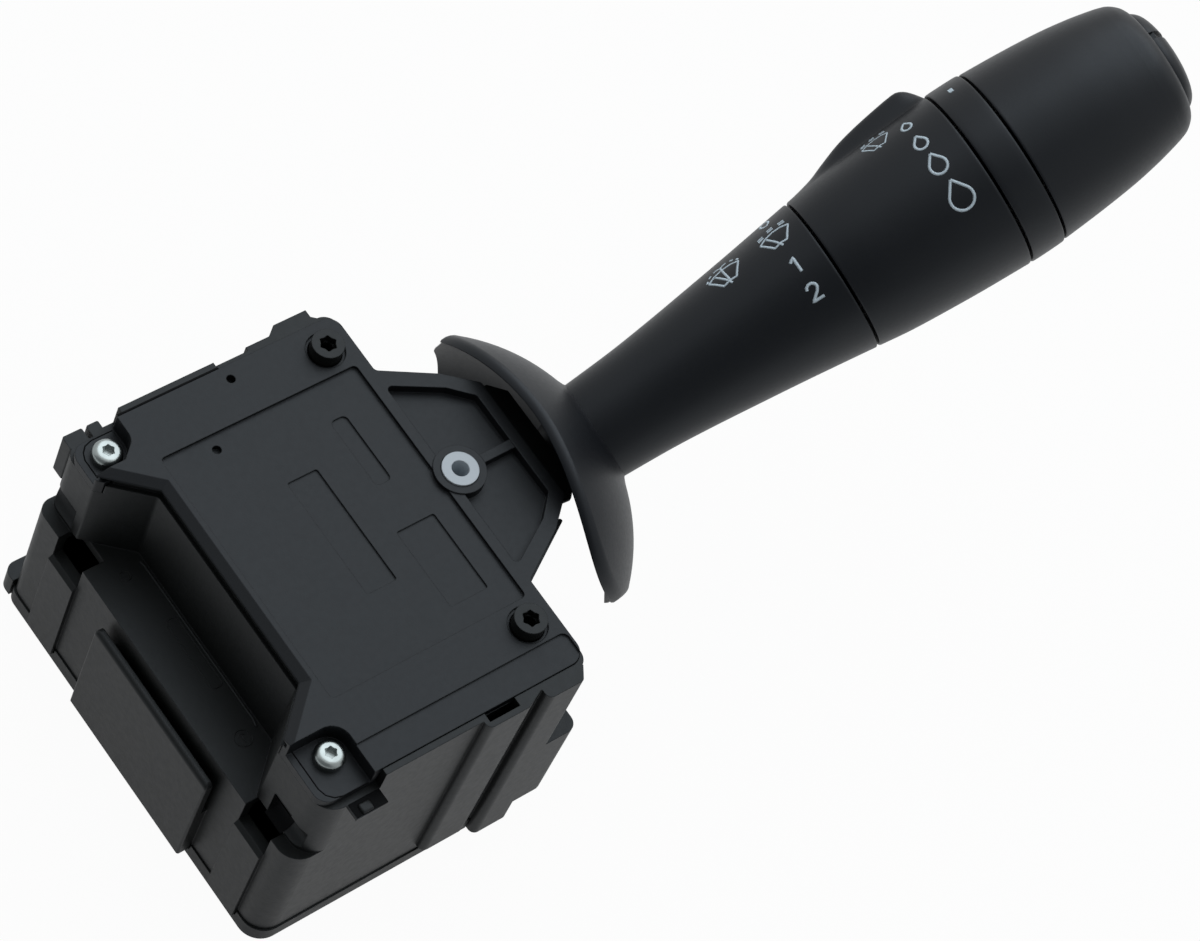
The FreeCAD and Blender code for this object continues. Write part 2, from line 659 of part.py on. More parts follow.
def cavity_nose():
    inner = [c for c in cavity_corners(CHANNEL_WALL_X + WALL) if c[0] > FRONT_X - WALL + 0.1]
    root = NOSE_ROOT_Y - WALL - 0.9
    return [(FRONT_X - 3.0, -root, 0)] + inner + [(FRONT_X - 3.0, root, 0)]


def nose_pocket():
    lip = 1.6
    return [(FRONT_X - 0.3, -NOSE_ROOT_Y + 3.0, 0.8), (NOSE_SHOULDER_X - 0.6, -NOSE_SHOULDER_Y + 2.6, 1.0),
            (NOSE_TIP_X - 2.1, -NOSE_TIP_HALF + lip, 0.6), (NOSE_TIP_X - 2.1, NOSE_TIP_HALF - lip, 0.6),
            (NOSE_SHOULDER_X - 0.6, NOSE_SHOULDER_Y - 2.6, 1.0), (FRONT_X - 0.3, NOSE_ROOT_Y - 3.0, 0.8)]


def bevel_cutter():
    """The long bevel along the cover's edges over the guide channel."""
    low = channel_room(0)
    high = channel_room(COVER_BEVEL * 2)
    low.translate(Vector(0, 0, -COVER_BEVEL_DEPTH))
    high.translate(Vector(0, 0, COVER_BEVEL_DEPTH))
    return Part.makeLoft([low, high], True, True)


def make_cover_screws():
    solids = []
    for p in COVER_SCREWS:
        head = post(p.x, p.y, TAB_FLOOR_Z, TAB_FLOOR_Z + SCREW_HEAD_H, SCREW_HEAD_R)
        rim = [e for e in head.Edges if e.BoundBox.ZMin > TAB_FLOOR_Z + SCREW_HEAD_H - 0.01]
        head = head.makeFillet(1.1, rim)
        shank = post(p.x, p.y, TAB_UNDER_Z - SCREW_LENGTH + 2, TAB_FLOOR_Z, SCREW_SHANK_R)
        drive = star_cutter(p.x, p.y, TAB_FLOOR_Z + SCREW_HEAD_H - SCREW_DRIVE_DEPTH, 1, SCREW_DRIVE_R)
        solids.append(join([head, shank]).cut(drive))
    return Part.makeCompound(solids)


def make_base_cover():
    plate = prism(lower_outline(BASE_RIM_PROUD), HOUSING_BOTTOM_Z, BASE_TOP_Z)
    inner = inset_prism(cavity_corners(REAR_LOWER_X + WALL), GAP, BASE_TOP_Z, BASE_TOP_Z + BASE_SEAT_H)
    inner_hole = inset_prism(cavity_corners(REAR_LOWER_X + WALL), GAP + 1.6, BASE_TOP_Z, BASE_TOP_Z + 5)
    plate = join([plate, inner.cut(inner_hole)])
    boss = post(0, 0, BASE_TOP_Z - 0.5, BOARD_TOP_Z + 1.2, BASE_BOSS_R)
    plate = join([plate, boss])
    cuts = [post(0, 0, BASE_TOP_Z - 1.2, 0, TRUNNION_R + RUNNING)]
    for x, y in BOSSES:
        cuts.append(post(x, y, BASE_TOP_Z, 0, BOSS_TOWER_R + GAP))
    cuts.append(socket_block(0.15))
    cuts.append(socket_flange(0.15, BASE_TOP_Z, BASE_TOP_Z + 1.2))
    room = DETAIL_ROOT + 0.15
    low_z = HOUSING_BOTTOM_Z - 1
    high_z = BASE_TOP_Z + 1
    cuts.append(box(REAR_LOWER_X - 1, -37.0, SIDE_HIGH_Y - room, SIDE_HIGH_Y + 5, low_z, high_z))
    cuts.append(box(PANEL_3_LOW_X - 0.2, 5.0, SIDE_LOW_Y - 5, SIDE_LOW_Y + room, low_z, high_z))
    for y0, y1 in rear_panel_sides() + [(TAB_LOW_Y, TAB_HIGH_Y)]:
        cuts.append(box(REAR_LOWER_X - 1, REAR_LOWER_X + 0.65, y0 - 0.15, y1 + 0.15, TAB_BOTTOM_Z - 0.15, high_z))
    for p in BASE_POSTS:
        cuts.append(post(p.x, p.y, BASE_TOP_Z, 0, BASE_POST_R + GAP))
    for p in BASE_SCREWS:
        cuts.append(post(p.x, p.y, -60, 0, BASE_SCREW_R + 0.15))
        cuts.append(post(p.x, p.y, -60, HOUSING_BOTTOM_Z + BASE_SCREW_HEAD_H, BASE_SCREW_R * 2 + 0.15))
    return carve(plate, cuts)


def socket_block(grow):
    half_x = SOCKET_IN_X / 2 + SOCKET_WALL + grow
    half_y = SOCKET_IN_Y / 2 + SOCKET_WALL + grow
    top = HOUSING_BOTTOM_Z + SOCKET_DEPTH + SOCKET_ROOF_T
    return rounded_box(SOCKET_X - half_x, SOCKET_X + half_x, SOCKET_Y - half_y, SOCKET_Y + half_y,
                       HOUSING_BOTTOM_Z, top, 1.5)


def socket_flange(grow, z0, z1):
    half_x = SOCKET_IN_X / 2 + SOCKET_WALL + 1.5 + grow
    half_y = SOCKET_IN_Y / 2 + SOCKET_WALL + 1.5 + grow
    return rounded_box(SOCKET_X - half_x, SOCKET_X + half_x, SOCKET_Y - half_y, SOCKET_Y + half_y, z0, z1, 2.0)


def make_connector():
    block = socket_block(0)
    half_x = SOCKET_IN_X / 2
    half_y = SOCKET_IN_Y / 2
    roof = HOUSING_BOTTOM_Z + SOCKET_DEPTH
    cavity = rounded_box(SOCKET_X - half_x, SOCKET_X + half_x, SOCKET_Y - half_y, SOCKET_Y + half_y,
                         HOUSING_BOTTOM_Z - 1, roof, 0.8)
    flange = socket_flange(0, BASE_TOP_Z, BASE_TOP_Z + 1.2)
    keys = [box(SOCKET_X + half_x - 0.1, SOCKET_X + half_x + 0.9, y - 1.0, y + 1.0, HOUSING_BOTTOM_Z - 1, roof)
            for y in (-9.0, 9.0)]
    body = carve(join([block, flange]), [cavity] + keys)
    return carve(body, [pin_blade(x, y, 0.02) for x, y in pin_places()])


def pin_places():
    places = []
    for row in range(PIN_ROWS):
        x = SOCKET_X + (row - (PIN_ROWS - 1) / 2) * PIN_ROW_PITCH
        for i in range(PINS_PER_ROW):
            places.append((x, SOCKET_Y + (i - (PINS_PER_ROW - 1) / 2) * PIN_PITCH + row * 0.9))
    return places


def pin_blade(x, y, grow):
    low = HOUSING_BOTTOM_Z + 2.5
    high = HOUSING_BOTTOM_Z + SOCKET_DEPTH + SOCKET_ROOF_T + 1.0
    return box(x - PIN_T / 2 - grow, x + PIN_T / 2 + grow, y - PIN_W / 2 - grow, y + PIN_W / 2 + grow, low, high)


def make_pins():
    """Blades bent from the socket to the contact board."""
    solids = []
    for index, (x, y) in enumerate(pin_places()):
        row = index // PINS_PER_ROW
        high = HOUSING_BOTTOM_Z + SOCKET_DEPTH + SOCKET_ROOF_T + 1.0 + (1 - row) * 2.0
        landing = BOARD_LOW_X + 1.0 + (1 - row) * 2.4
        blade = pin_blade(x, y, 0)
        riser = box(x - PIN_T / 2, x + PIN_T / 2, y - PIN_W / 2, y + PIN_W / 2, blade.BoundBox.ZMax, high + PIN_T)
        bridge = box(x, landing + PIN_T, y - PIN_W / 2, y + PIN_W / 2, high, high + PIN_T)
        drop = box(landing, landing + PIN_T, y - PIN_W / 2, y + PIN_W / 2, BOARD_TOP_Z, high + PIN_T)
        solids.append(join([blade, riser, bridge, drop]))
    return Part.makeCompound(solids)


def make_board():
    half = BOARD_HALF_Y
    front = FRONT_X - WALL - 1.0
    root = NOSE_ROOT_Y - WALL - 1.0
    board = prism([(BOARD_LOW_X, -half, 1.0), (front, -half, 1.0), (front, -root, 0), (BOARD_HIGH_X, -12.0, 1.0),
                   (BOARD_HIGH_X, 12.0, 1.0), (front, root, 0), (front, half, 1.0), (BOARD_LOW_X, half, 1.0)],
                  BOARD_TOP_Z - BOARD_T, BOARD_TOP_Z)
    legs = [post(x, y, BASE_TOP_Z, BOARD_TOP_Z - BOARD_T, 1.6)
            for x, y in ((-33.0, -21.0), (-33.0, 21.0), (-8.0, -19.0), (-8.0, 19.0))]
    rails = [box(SLIDER_LOW_X - 2.8, SLIDER_LOW_X - GAP, -14.0, 15.0, BOARD_TOP_Z, SLIDER_TOP_Z)]
    cuts = [post(0, 0, -60, 0, BOARD_HOLE_R)]
    for x, y in BOSSES:
        cuts.append(post(x, y, -60, 0, BOSS_TOWER_R + GAP))
    return carve(join([board] + legs + rails), cuts)


def make_tracks():
    """Contact strips on the board, each with a run to the terminal pins."""
    solids = []
    top = BOARD_TOP_Z + TRACK_T
    x = SLIDER_LOW_X + 0.5
    half = CONTACT_STRIP_W / 2
    for i in range(CONTACT_STRIPS):
        y = (i - (CONTACT_STRIPS - 1) / 2) * CONTACT_STRIP_PITCH
        solids.append(box(x, x + CONTACT_STRIP_LENGTH, y - half, y + half, BOARD_TOP_Z, top))
    return Part.makeCompound(solids)


def make_base_screws():
    solids = []
    for p in BASE_SCREWS:
        seat = HOUSING_BOTTOM_Z + BASE_SCREW_HEAD_H
        head = post(p.x, p.y, HOUSING_BOTTOM_Z, seat, BASE_SCREW_R * 2)
        shank = post(p.x, p.y, seat, BASE_TOP_Z + BASE_SCREW_GRIP, BASE_SCREW_R)
        drive = star_cutter(p.x, p.y, HOUSING_BOTTOM_Z - 1, seat - 0.5, SCREW_DRIVE_R)
        solids.append(join([head, shank]).cut(drive))
    return Part.makeCompound(solids)


def make_detent_track():
    """A curved wall with one notch for each lever step, hung under the cover."""
    z0 = DETENT_Z - 4.0
    height = -COVER_T - z0
    wall = post(0, 0, z0, z0 + height, TRACK_BACK_R).cut(post(0, 0, z0 - 1, 0, TRACK_VALLEY_R - TRACK_RIDGE))
    keep = Part.makeCylinder(TRACK_BACK_R + 5, height + 2, Vector(0, 0, z0 - 1), Vector(0, 0, 1), 60)
    keep.rotate(Vector(0, 0, 0), Vector(0, 0, 1), 150 + STALK_AZIMUTH)
    wall = wall.common(keep)
    notches = []
    for i in range(-1, 4):
        angle = math.radians(180 + STALK_AZIMUTH - i * TRACK_STEP)
        reach = TRACK_VALLEY_R - DETENT_BORE_R * 0.45
        notches.append(post(reach * math.cos(angle), reach * math.sin(angle), z0 - 1, 0, DETENT_BORE_R * 0.45))
    return carve(wall, notches)


def make_carrier():
    half = CARRIER_HALF_Y
    front = CARRIER_FRONT_X
    body = rounded_box(-8.0, front, -half, half, CARRIER_BOTTOM_Z, CARRIER_TOP_Z, 1.5)
    lower_rear = rounded_box(CARRIER_REAR_X, -4.0, -6.5, 6.5, CARRIER_BOTTOM_Z, -25.0, 1.0)
    arm = rounded_box(-15.2, -4.0, -4.2, 4.2, DETENT_Z - 3.6, DETENT_Z + 3.6, 0.8)
    top = post(0, 0, CARRIER_TOP_Z - 1, TRUNNION_TOP_Z, TRUNNION_R)
    bottom = post(0, 0, BASE_TOP_Z - 0.8, CARRIER_BOTTOM_Z + 1, TRUNNION_R)
    peg = post(-PEG_REACH, 0, CARRIER_BOTTOM_Z - PEG_LENGTH, CARRIER_BOTTOM_Z + 0.5, PEG_R)
    carrier = join([body, lower_rear, arm, top, bottom, peg])
    slot = SLOT_HALF_Y
    cuts = [box(-5.0, front + 1, -slot, slot, PULL_AXIS_Z - 10.0, CARRIER_ROOF_Z),
            box(CARRIER_REAR_X - 1, -4.9, -slot, slot, -29.5, PULL_AXIS_Z + 6.0),
            rod(Vector(0, -half - 1, PULL_AXIS_Z), Vector(0, 1, 0), PULL_PIN_R + RUNNING, 2 * half + 2),
            post(0, 0, TRUNNION_TOP_Z - 9.0, TRUNNION_TOP_Z + 1, TRUNNION_BORE_R),
            post(-PULL_PLUNGER_REACH, 0, PULL_BORE_BOTTOM_Z, -20.0, PULL_PLUNGER_R + RUNNING),
            rod(Vector(-16.0, 0, DETENT_Z), Vector(1, 0, 0), DETENT_BORE_R + RUNNING, 10.0)]
    return in_carrier(carve(carrier, cuts))


def make_detent_plunger():
    shank = shaft(-14.0, -9.5, DETENT_BORE_R)
    tip_start = -DETENT_TIP_R
    tip = turned([(tip_start, 0.3), (tip_start + 0.6, 1.1), (tip_start + 2.2, DETENT_BORE_R), (-14.0, DETENT_BORE_R)])
    piece = join([shank, tip]).cut(shaft(-11.5, -9.0, 1.2))
    piece.translate(Vector(0, 0, DETENT_Z))
    return in_carrier(piece)


def make_detent_spring():
    coil = spring(1.5, 3.5, 4)
    coil.rotate(Vector(0, 0, 0), Vector(0, 1, 0), 90)
    coil.translate(Vector(-9.5, 0, DETENT_Z))
    return in_carrier(coil)


def make_pull_pin():
    half = CARRIER_HALF_Y - 0.1
    return in_carrier(rod(Vector(0, -half, PULL_AXIS_Z), Vector(0, 1, 0), PULL_PIN_R, 2 * half))


def make_pull_plunger():
    x = -PULL_PLUNGER_REACH
    top = PULL_PLUNGER_TOP_Z
    body = post(x, 0, top - PULL_PLUNGER_LENGTH, top - 0.9, PULL_PLUNGER_R)
    dome = Part.makeSphere(4.0, Vector(x, 0, top - 4.0)).common(post(x, 0, top - 0.9, top + 1, PULL_PLUNGER_R))
    low = top - PULL_PLUNGER_LENGTH
    seat = post(x, 0, low - 1, low + 1.2, 1.4)
    return in_carrier(join([body, dome]).cut(seat))


def make_pull_spring():
    low = PULL_BORE_BOTTOM_Z
    length = PULL_PLUNGER_TOP_Z - PULL_PLUNGER_LENGTH - low
    coil = spring(1.85, length, 3.5)
    coil.translate(Vector(-PULL_PLUNGER_REACH, 0, low))
    return in_carrier(coil)


def peg_rest_y():
    return -PEG_REACH * math.sin(math.radians(STALK_AZIMUTH))


def make_slider():
    y = peg_rest_y()
    half = SLIDER_HALF_Y
    block = rounded_box(SLIDER_LOW_X, SLIDER_HIGH_X, y - half, y + half, SLIDER_BOTTOM_Z, SLIDER_TOP_Z, 0.8)
    slot_half = PEG_R + 0.12
    fork = box(-PEG_REACH - PEG_R - 1.5, SLIDER_HIGH_X + 1, y - slot_half, y + slot_half, SLIDER_BOTTOM_Z - 1,
               SLIDER_TOP_Z + 1)
    relief = box(SLIDER_LOW_X + 2.5, -19.5, y - half + 2, y + half - 2, SLIDER_TOP_Z - 1.4, SLIDER_TOP_Z + 1)
    seats = [slider_bridge(x, 0.1) for x in (-25.5, -21.0)]
    return carve(block, [fork, relief] + seats)


def slider_bridge(x, grow):
    y = peg_rest_y()
    low = SLIDER_BOTTOM_Z - 0.1 - grow
    return box(x - 1.0 - grow, x + 1.0 + grow, y - 4.0 - grow, y + 4.0 + grow, low, SLIDER_BOTTOM_Z + 0.5 + grow)


def make_slider_contacts():
    return Part.makeCompound([slider_bridge(x, 0) for x in (-25.5, -21.0)])


def make_lever_core():
    hub = rod(Vector(0, -HUB_HALF_Y, 0), Vector(0, 1, 0), HUB_R, 2 * HUB_HALF_Y)
    neck = turned([(0, NECK_R), (22.0, NECK_R), (29.0, NECK_END_R), (CORE_END, NECK_END_R)])
    body = in_lever(join([hub, neck]))
    z = PULL_AXIS_Z
    foot = prism([(-13.4, -2.6, 1.0), (0, -2.6, 0), (0, 2.6, 0), (-13.4, 2.6, 1.0)], z - 2.0, z + 1.4)
    body = join([body, in_carrier(foot)])
    pin = in_carrier(rod(Vector(0, -10, z), Vector(0, 1, 0), PULL_PIN_R + RUNNING, 20))
    wire_way = in_lever(shaft(12.0, CORE_END + 1, 2.4))
    return carve(body, [pin, wire_way])


def guard_outline():
    """The guard's edge as seen along the lever, fuller than an ellipse."""
    points = []
    power = 2 / GUARD_FULLNESS
    for i in range(24):
        angle = math.radians(15 * i)
        across = math.cos(angle)
        over = math.sin(angle)
        points.append(Vector(0, math.copysign(abs(across) ** power, across) * GUARD_HALF_W,
                             math.copysign(abs(over) ** power, over) * GUARD_HALF_H))
    curve = Part.BSplineCurve()
    curve.interpolate(points, True)
    return Part.Wire(curve.toShape())


def make_guard():
    shell = Part.makeSphere(GUARD_R).cut(Part.makeSphere(GUARD_R - GUARD_T))
    column = Part.Face(guard_outline()).extrude(Vector(60, 0, 0))
    column.translate(Vector(5.0, 0, 0))
    shell = shell.common(column)
    shell = in_lever(shell.cut(shaft(20.0, 40.0, NECK_END_R + 0.05)))
    nose = inset_prism([(FRONT_X - 20.0, -NOSE_ROOT_Y, 0)] + NOSE + [(FRONT_X - 20.0, NOSE_ROOT_Y, 0)],
                       -GUARD_NOSE_GAP, HOUSING_BOTTOM_Z, GUARD_NOSE_GAP)
    return shell.cut(nose)


def sleeve_profile(inset):
    """Outer line of the arm sleeve, drawn in by inset."""
    steps = [(0, 0), (0.186, 0.111), (0.358, 0.262), (0.529, 0.443), (0.701, 0.634), (0.852, 0.815), (1, 1)]
    line = swell(SLEEVE_START, SLEEVE_LENGTH, SLEEVE_ROOT_R, SLEEVE_END_R, steps)
    return [(x, r - inset) for x, r in line]


def ring_profile(inset):
    steps = [(0, 0), (0.195, 0.341), (0.412, 0.582), (0.686, 0.818), (1, 1)]
    line = swell(RING_START, RING_LENGTH, RING_START_R, RING_END_R, steps)
    return [(x, r - inset) for x, r in line]


def knob_profile(inset):
    steps = [(0, 0), (0.282, 0.15), (0.573, 0.383), (0.772, 0.6), (0.905, 0.817), (1, 1)]
    line = swell(KNOB_START, KNOB_LENGTH - KNOB_SHOULDER_LENGTH, KNOB_START_R, KNOB_SHOULDER_R, steps)
    return [(x, r - inset) for x, r in line]


def knob_shoulder():
    """The round end of the knob, from its side down to the button's hole."""
    steps = [(0, 0), (0.45, 0.18), (0.79, 0.48), (0.96, 0.78), (1, 1)]
    return swell(KNOB_END - KNOB_SHOULDER_LENGTH, KNOB_SHOULDER_LENGTH, KNOB_SHOULDER_R, BUTTON_R + LOOSE, steps)


def make_sleeve():
    outer = turned_smooth(sleeve_profile(0))
    end_wall = 3.0
    hollow = turned_smooth(sleeve_profile(SHELL_T)).common(shaft(SLEEVE_START + 3.5, SLEEVE_END - end_wall, 20))
    body = outer.cut(hollow)
    cuts = [Part.makeSphere(GUARD_R + 0.02), shaft(SLEEVE_START - 3, CORE_END + 0.1, NECK_END_R + 0.02),
            shaft(CORE_END, SLEEVE_END + 1, CORE_TUBE_R + 0.02)]
    reach = SLEEVE_END_R - 0.5
    ribs = [box(SLEEVE_START + 7, SLEEVE_END - 1, -0.7, 0.7, -reach, reach),
            box(SLEEVE_START + 7, SLEEVE_END - 1, -reach, reach, -0.7, 0.7)]
    web = join(ribs).common(outer)
    return in_lever(carve(join([body, web]), cuts))


def make_core_tube():
    return in_lever(ring_along(CORE_END, CORE_TUBE_END, CORE_TUBE_R, CORE_TUBE_BORE_R))


def fin_solid():
    """The finger fin of the interval ring, a ridge that swells along the ring and ends in a round nose."""
    crest = [(0.03, -0.1), (0.12, 0.05), (0.27, 0.42), (0.44, 0.75), (0.57, 0.94), (0.72, 1.0), (0.845, 0.97),
             (0.895, 0.88), (0.93, 0.7), (0.962, 0.42), (0.99, 0.08)]
    line = ring_profile(0)
    sections = []
    for along, rise in crest:
        x = RING_START + along * RING_LENGTH
        foot = radius_at(line, x)
        top = foot + rise * FIN_HEIGHT
        low = foot - 4.0
        side = [(FIN_FOOT_HALF + 0.9, low), (FIN_FOOT_HALF, foot - 0.75), (FIN_FOOT_HALF * 0.6, foot + (top - foot) * 0.5),
                (FIN_TOP_HALF, top - 0.35)]
        points = [Vector(x, -y, z) for y, z in side] + [Vector(x, 0, top)]
        points += [Vector(x, y, z) for y, z in reversed(side)]
        sections.append(Part.makePolygon(points + [points[0]]))
    fin = Part.makeLoft(sections, True, True)
    fin.rotate(Vector(0, 0, 0), Vector(1, 0, 0), -FIN_ANGLE)
    return fin


def radius_at(line, x):
    for (x0, r0), (x1, r1) in zip(line, line[1:]):
        if x0 <= x <= x1:
            return r0 + (r1 - r0) * (x - x0) / (x1 - x0)
    return line[-1][1]


def make_interval_ring():
    wall = 2.0
    inner = turned_smooth(ring_profile(SHELL_T))
    hollow = inner.common(shaft(RING_START + wall, RING_END - wall, 20))
    body = join([turned_smooth(ring_profile(0)), fin_solid()]).cut(hollow)
    web = ring_along(RING_WIPER_X + WIPER_T, RING_WIPER_X + WIPER_T + 1.2, RING_START_R - 0.3, 8.0)
    body = join([body, web])
    cuts = [shaft(RING_START - 1, RING_END + 1, CORE_TUBE_R + RUNNING)]
    return in_lever(carve(body, cuts))


def make_index_ring():
    body = shaft(INDEX_START, INDEX_END, INDEX_R)
    groove = ring_along(INDEX_START + 1.6, INDEX_END - 1.6, INDEX_R - SHELL_T, CORE_TUBE_R + SHELL_T)
    cuts = [shaft(INDEX_START - 1, INDEX_END + 1, CORE_TUBE_R + 0.02), groove]
    return in_lever(carve(body, cuts))


def make_knob():
    body = turned_smooth(knob_profile(0), knob_shoulder())
    inner = turned_smooth(knob_profile(SHELL_T))
    hollow = inner.common(shaft(KNOB_START + 2.0, KNOB_END - KNOB_POCKET_DEPTH - 2.0, 20))
    hollow = hollow.cut(ring_along(KNOB_WIPER_X + WIPER_T, KNOB_WIPER_X + WIPER_T + 1.2, KNOB_START_R, 8.0))
    cuts = [hollow, shaft(KNOB_START - 1, KNOB_END + 1, CORE_TUBE_R + RUNNING),
            shaft(KNOB_END - KNOB_POCKET_DEPTH, KNOB_END + 1, BUTTON_R + LOOSE)]
    return in_lever(carve(body, cuts))


def make_button():
    """The pressed cap in the end of the lever, with a finger notch beside its middle."""
    tip = KNOB_END + BUTTON_DOME_H
    low = KNOB_END - BUTTON_SKIRT
    side = [(low, BUTTON_R), (KNOB_END, BUTTON_R)]
    dome = swell(KNOB_END, BUTTON_DOME_H, BUTTON_R, 0.4, [(0, 0), (0.3, 0.04), (0.68, 0.22), (0.87, 0.51), (1, 1)])
    cap = turned_smooth(side, dome)
    cap = cap.cut(shaft(low - 1, BUTTON_SEAT, BUTTON_R - 1.5))
    stem = shaft(BUTTON_SEAT - BUTTON_STEM_LENGTH + 0.4, BUTTON_SEAT + 0.4, BUTTON_STEM_R)
    notch = box(tip - NOTCH_DEPTH, tip + 1, NOTCH_Y - NOTCH_W / 2, NOTCH_Y + NOTCH_W / 2, -BUTTON_R, BUTTON_R)
    return in_lever(carve(join([cap, stem]), [notch]))


def make_stalk_board():
    half = STALK_BOARD_W / 2
    return in_lever(box(CORE_END + 6.0, KNOB_START + 8.8, -half, half, -STALK_BOARD_T / 2, STALK_BOARD_T / 2))


def make_button_spring():
    """A sprung washer whose three sloping legs push on the underside of the button."""
    low = BUTTON_SEAT - BUTTON_SPRING_LENGTH
    washer = ring_along(low, low + BUTTON_LEAF_T, BUTTON_SPRING_R + 1.2, BUTTON_SPRING_R - 0.8)
    rise = BUTTON_SPRING_LENGTH - 2 * BUTTON_LEAF_T
    slope = math.degrees(math.asin(rise / BUTTON_LEAF_LENGTH))
    legs = []
    for i in range(3):
        half = BUTTON_LEAF_W / 2
        leg = box(0, BUTTON_LEAF_T, 0, BUTTON_LEAF_LENGTH, BUTTON_SPRING_R - half, BUTTON_SPRING_R + half)
        leg.rotate(Vector(0, 0, 0), Vector(0, 0, 1), -slope)
        leg.translate(Vector(low + BUTTON_LEAF_T / 2, -BUTTON_LEAF_LENGTH / 2, 0))
        leg.rotate(Vector(0, 0, 0), Vector(1, 0, 0), 120 * i)
        legs.append(leg)
    return in_lever(join([washer] + legs))


def contact_disc(x):
    disc = ring_along(x, x + DISC_T, DISC_R, CORE_TUBE_R + 0.02)
    return in_lever(disc)


def make_wiper(x):
    """A thin sprung plate with three fingers that rub on the contact disc."""
    plate = ring_along(x, x + WIPER_T, WIPER_R, WIPER_BORE_R)
    half = WIPER_FINGER_W / 2
    fingers = [box(x - 0.5, x + 0.1, -half, half, WIPER_FINGER_IN_R, WIPER_FINGER_OUT_R) for _ in range(3)]
    for i, finger in enumerate(fingers):
        finger.rotate(Vector(0, 0, 0), Vector(1, 0, 0), 120 * i)
    return in_lever(join([plate] + fingers))


def save(name, shape):
    placed = shape.copy()
    placed.translate(DATUM * -1)
    placed.exportStep(os.path.join("parts", name + ".step"))
    solids = placed.Solids
    state = "valid" if all(s.isValid() for s in solids) else "INVALID"
    print(name, len(solids), "solids", state, round(sum(s.Volume for s in solids), 1), "mm3")


def main():
    os.makedirs("parts", exist_ok=True)
    save("housing", make_housing())
    save("cover_plate", make_cover())
    save("base_cover", make_base_cover())
    save("connector_socket", make_connector())
    save("terminal_pins", make_pins())
    save("contact_board", make_board())
    save("contact_tracks", make_tracks())
    save("cover_screws", make_cover_screws())
    save("base_screws", make_base_screws())
    save("detent_track", make_detent_track())
    save("tilt_carrier", make_carrier())
    save("detent_plunger", make_detent_plunger())
    save("detent_spring", make_detent_spring())
    save("pull_pin", make_pull_pin())
    save("pull_plunger", make_pull_plunger())
    save("pull_spring", make_pull_spring())
    save("tilt_slider", make_slider())
    save("slider_contacts", make_slider_contacts())
    save("lever_core", make_lever_core())
    save("guard", make_guard())
    save("arm_sleeve", make_sleeve())
    save("core_tube", make_core_tube())
    save("stalk_board", make_stalk_board())
    save("index_ring", make_index_ring())
    save("interval_ring", make_interval_ring())
    save("ring_contact_disc", contact_disc(RING_WIPER_X - 0.6 - DISC_T))
    save("ring_wiper", make_wiper(RING_WIPER_X))
    save("end_knob", make_knob())
    save("knob_contact_disc", contact_disc(KNOB_WIPER_X - 0.6 - DISC_T))
    save("knob_wiper", make_wiper(KNOB_WIPER_X))
    save("tip_button", make_button())
    save("button_spring", make_button_spring())


main()
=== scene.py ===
import math

import bmesh
import bpy
from mathutils import Matrix, Vector


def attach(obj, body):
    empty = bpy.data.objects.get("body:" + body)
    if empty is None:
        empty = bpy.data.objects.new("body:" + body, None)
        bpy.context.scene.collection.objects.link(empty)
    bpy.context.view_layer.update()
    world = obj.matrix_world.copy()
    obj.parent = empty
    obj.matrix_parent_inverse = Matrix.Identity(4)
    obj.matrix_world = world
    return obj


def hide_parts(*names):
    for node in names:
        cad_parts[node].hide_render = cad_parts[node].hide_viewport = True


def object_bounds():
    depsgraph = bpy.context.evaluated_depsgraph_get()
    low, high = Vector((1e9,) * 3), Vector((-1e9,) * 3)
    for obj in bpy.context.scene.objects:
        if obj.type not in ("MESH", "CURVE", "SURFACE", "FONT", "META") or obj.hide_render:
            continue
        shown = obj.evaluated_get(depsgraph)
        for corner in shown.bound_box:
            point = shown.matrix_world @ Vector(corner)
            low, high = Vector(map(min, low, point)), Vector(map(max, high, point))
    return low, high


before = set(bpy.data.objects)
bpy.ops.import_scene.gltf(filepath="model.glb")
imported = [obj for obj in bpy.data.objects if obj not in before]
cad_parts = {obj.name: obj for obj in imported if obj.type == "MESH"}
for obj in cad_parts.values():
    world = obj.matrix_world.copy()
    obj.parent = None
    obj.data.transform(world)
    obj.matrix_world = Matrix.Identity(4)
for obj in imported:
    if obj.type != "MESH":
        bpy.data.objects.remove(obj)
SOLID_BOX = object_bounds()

# The stalk switch stands in the frame of its solids, with +Z out of the cover plate. Its lengths are given in
# millimetres and become metres by MM. WELD and the studio's lengths are in metres.
MM = 0.001
WELD = 1e-7
TILT_AXIS = Vector((47.5, 0.0, 20.0)) * MM
PULL_CENTRE = TILT_AXIS + Vector((0.0, 0.0, -23.0)) * MM
LEVER_TURN = math.radians(-3.7)
LEVER_RISE = math.radians(29.0)

# Lever axes: along towards the tip, side along the housing, up away from it
ALONG = Vector((math.cos(LEVER_RISE) * math.cos(LEVER_TURN), math.cos(LEVER_RISE) * math.sin(LEVER_TURN),
                math.sin(LEVER_RISE)))
SIDE = Vector((-math.sin(LEVER_TURN), math.cos(LEVER_TURN), 0.0))
UP = ALONG.cross(SIDE)
LEVER = Matrix((ALONG, SIDE, UP)).transposed().to_4x4()
LEVER.translation = PULL_CENTRE

# Seams of the lever, from the pull axis
SLEEVE_START = 31.9
SLEEVE_END = 78.2
RING_START = 78.6
RING_END = 106.3
INDEX_START = 106.7
INDEX_END = 112.8
KNOB_START = 113.2
KNOB_SHOULDER = 137.3
BUTTON_TIP = 144.0
CORE_BORE = 5.75
EDGE_ROUND = 0.35
LEVER_STEPS = 160

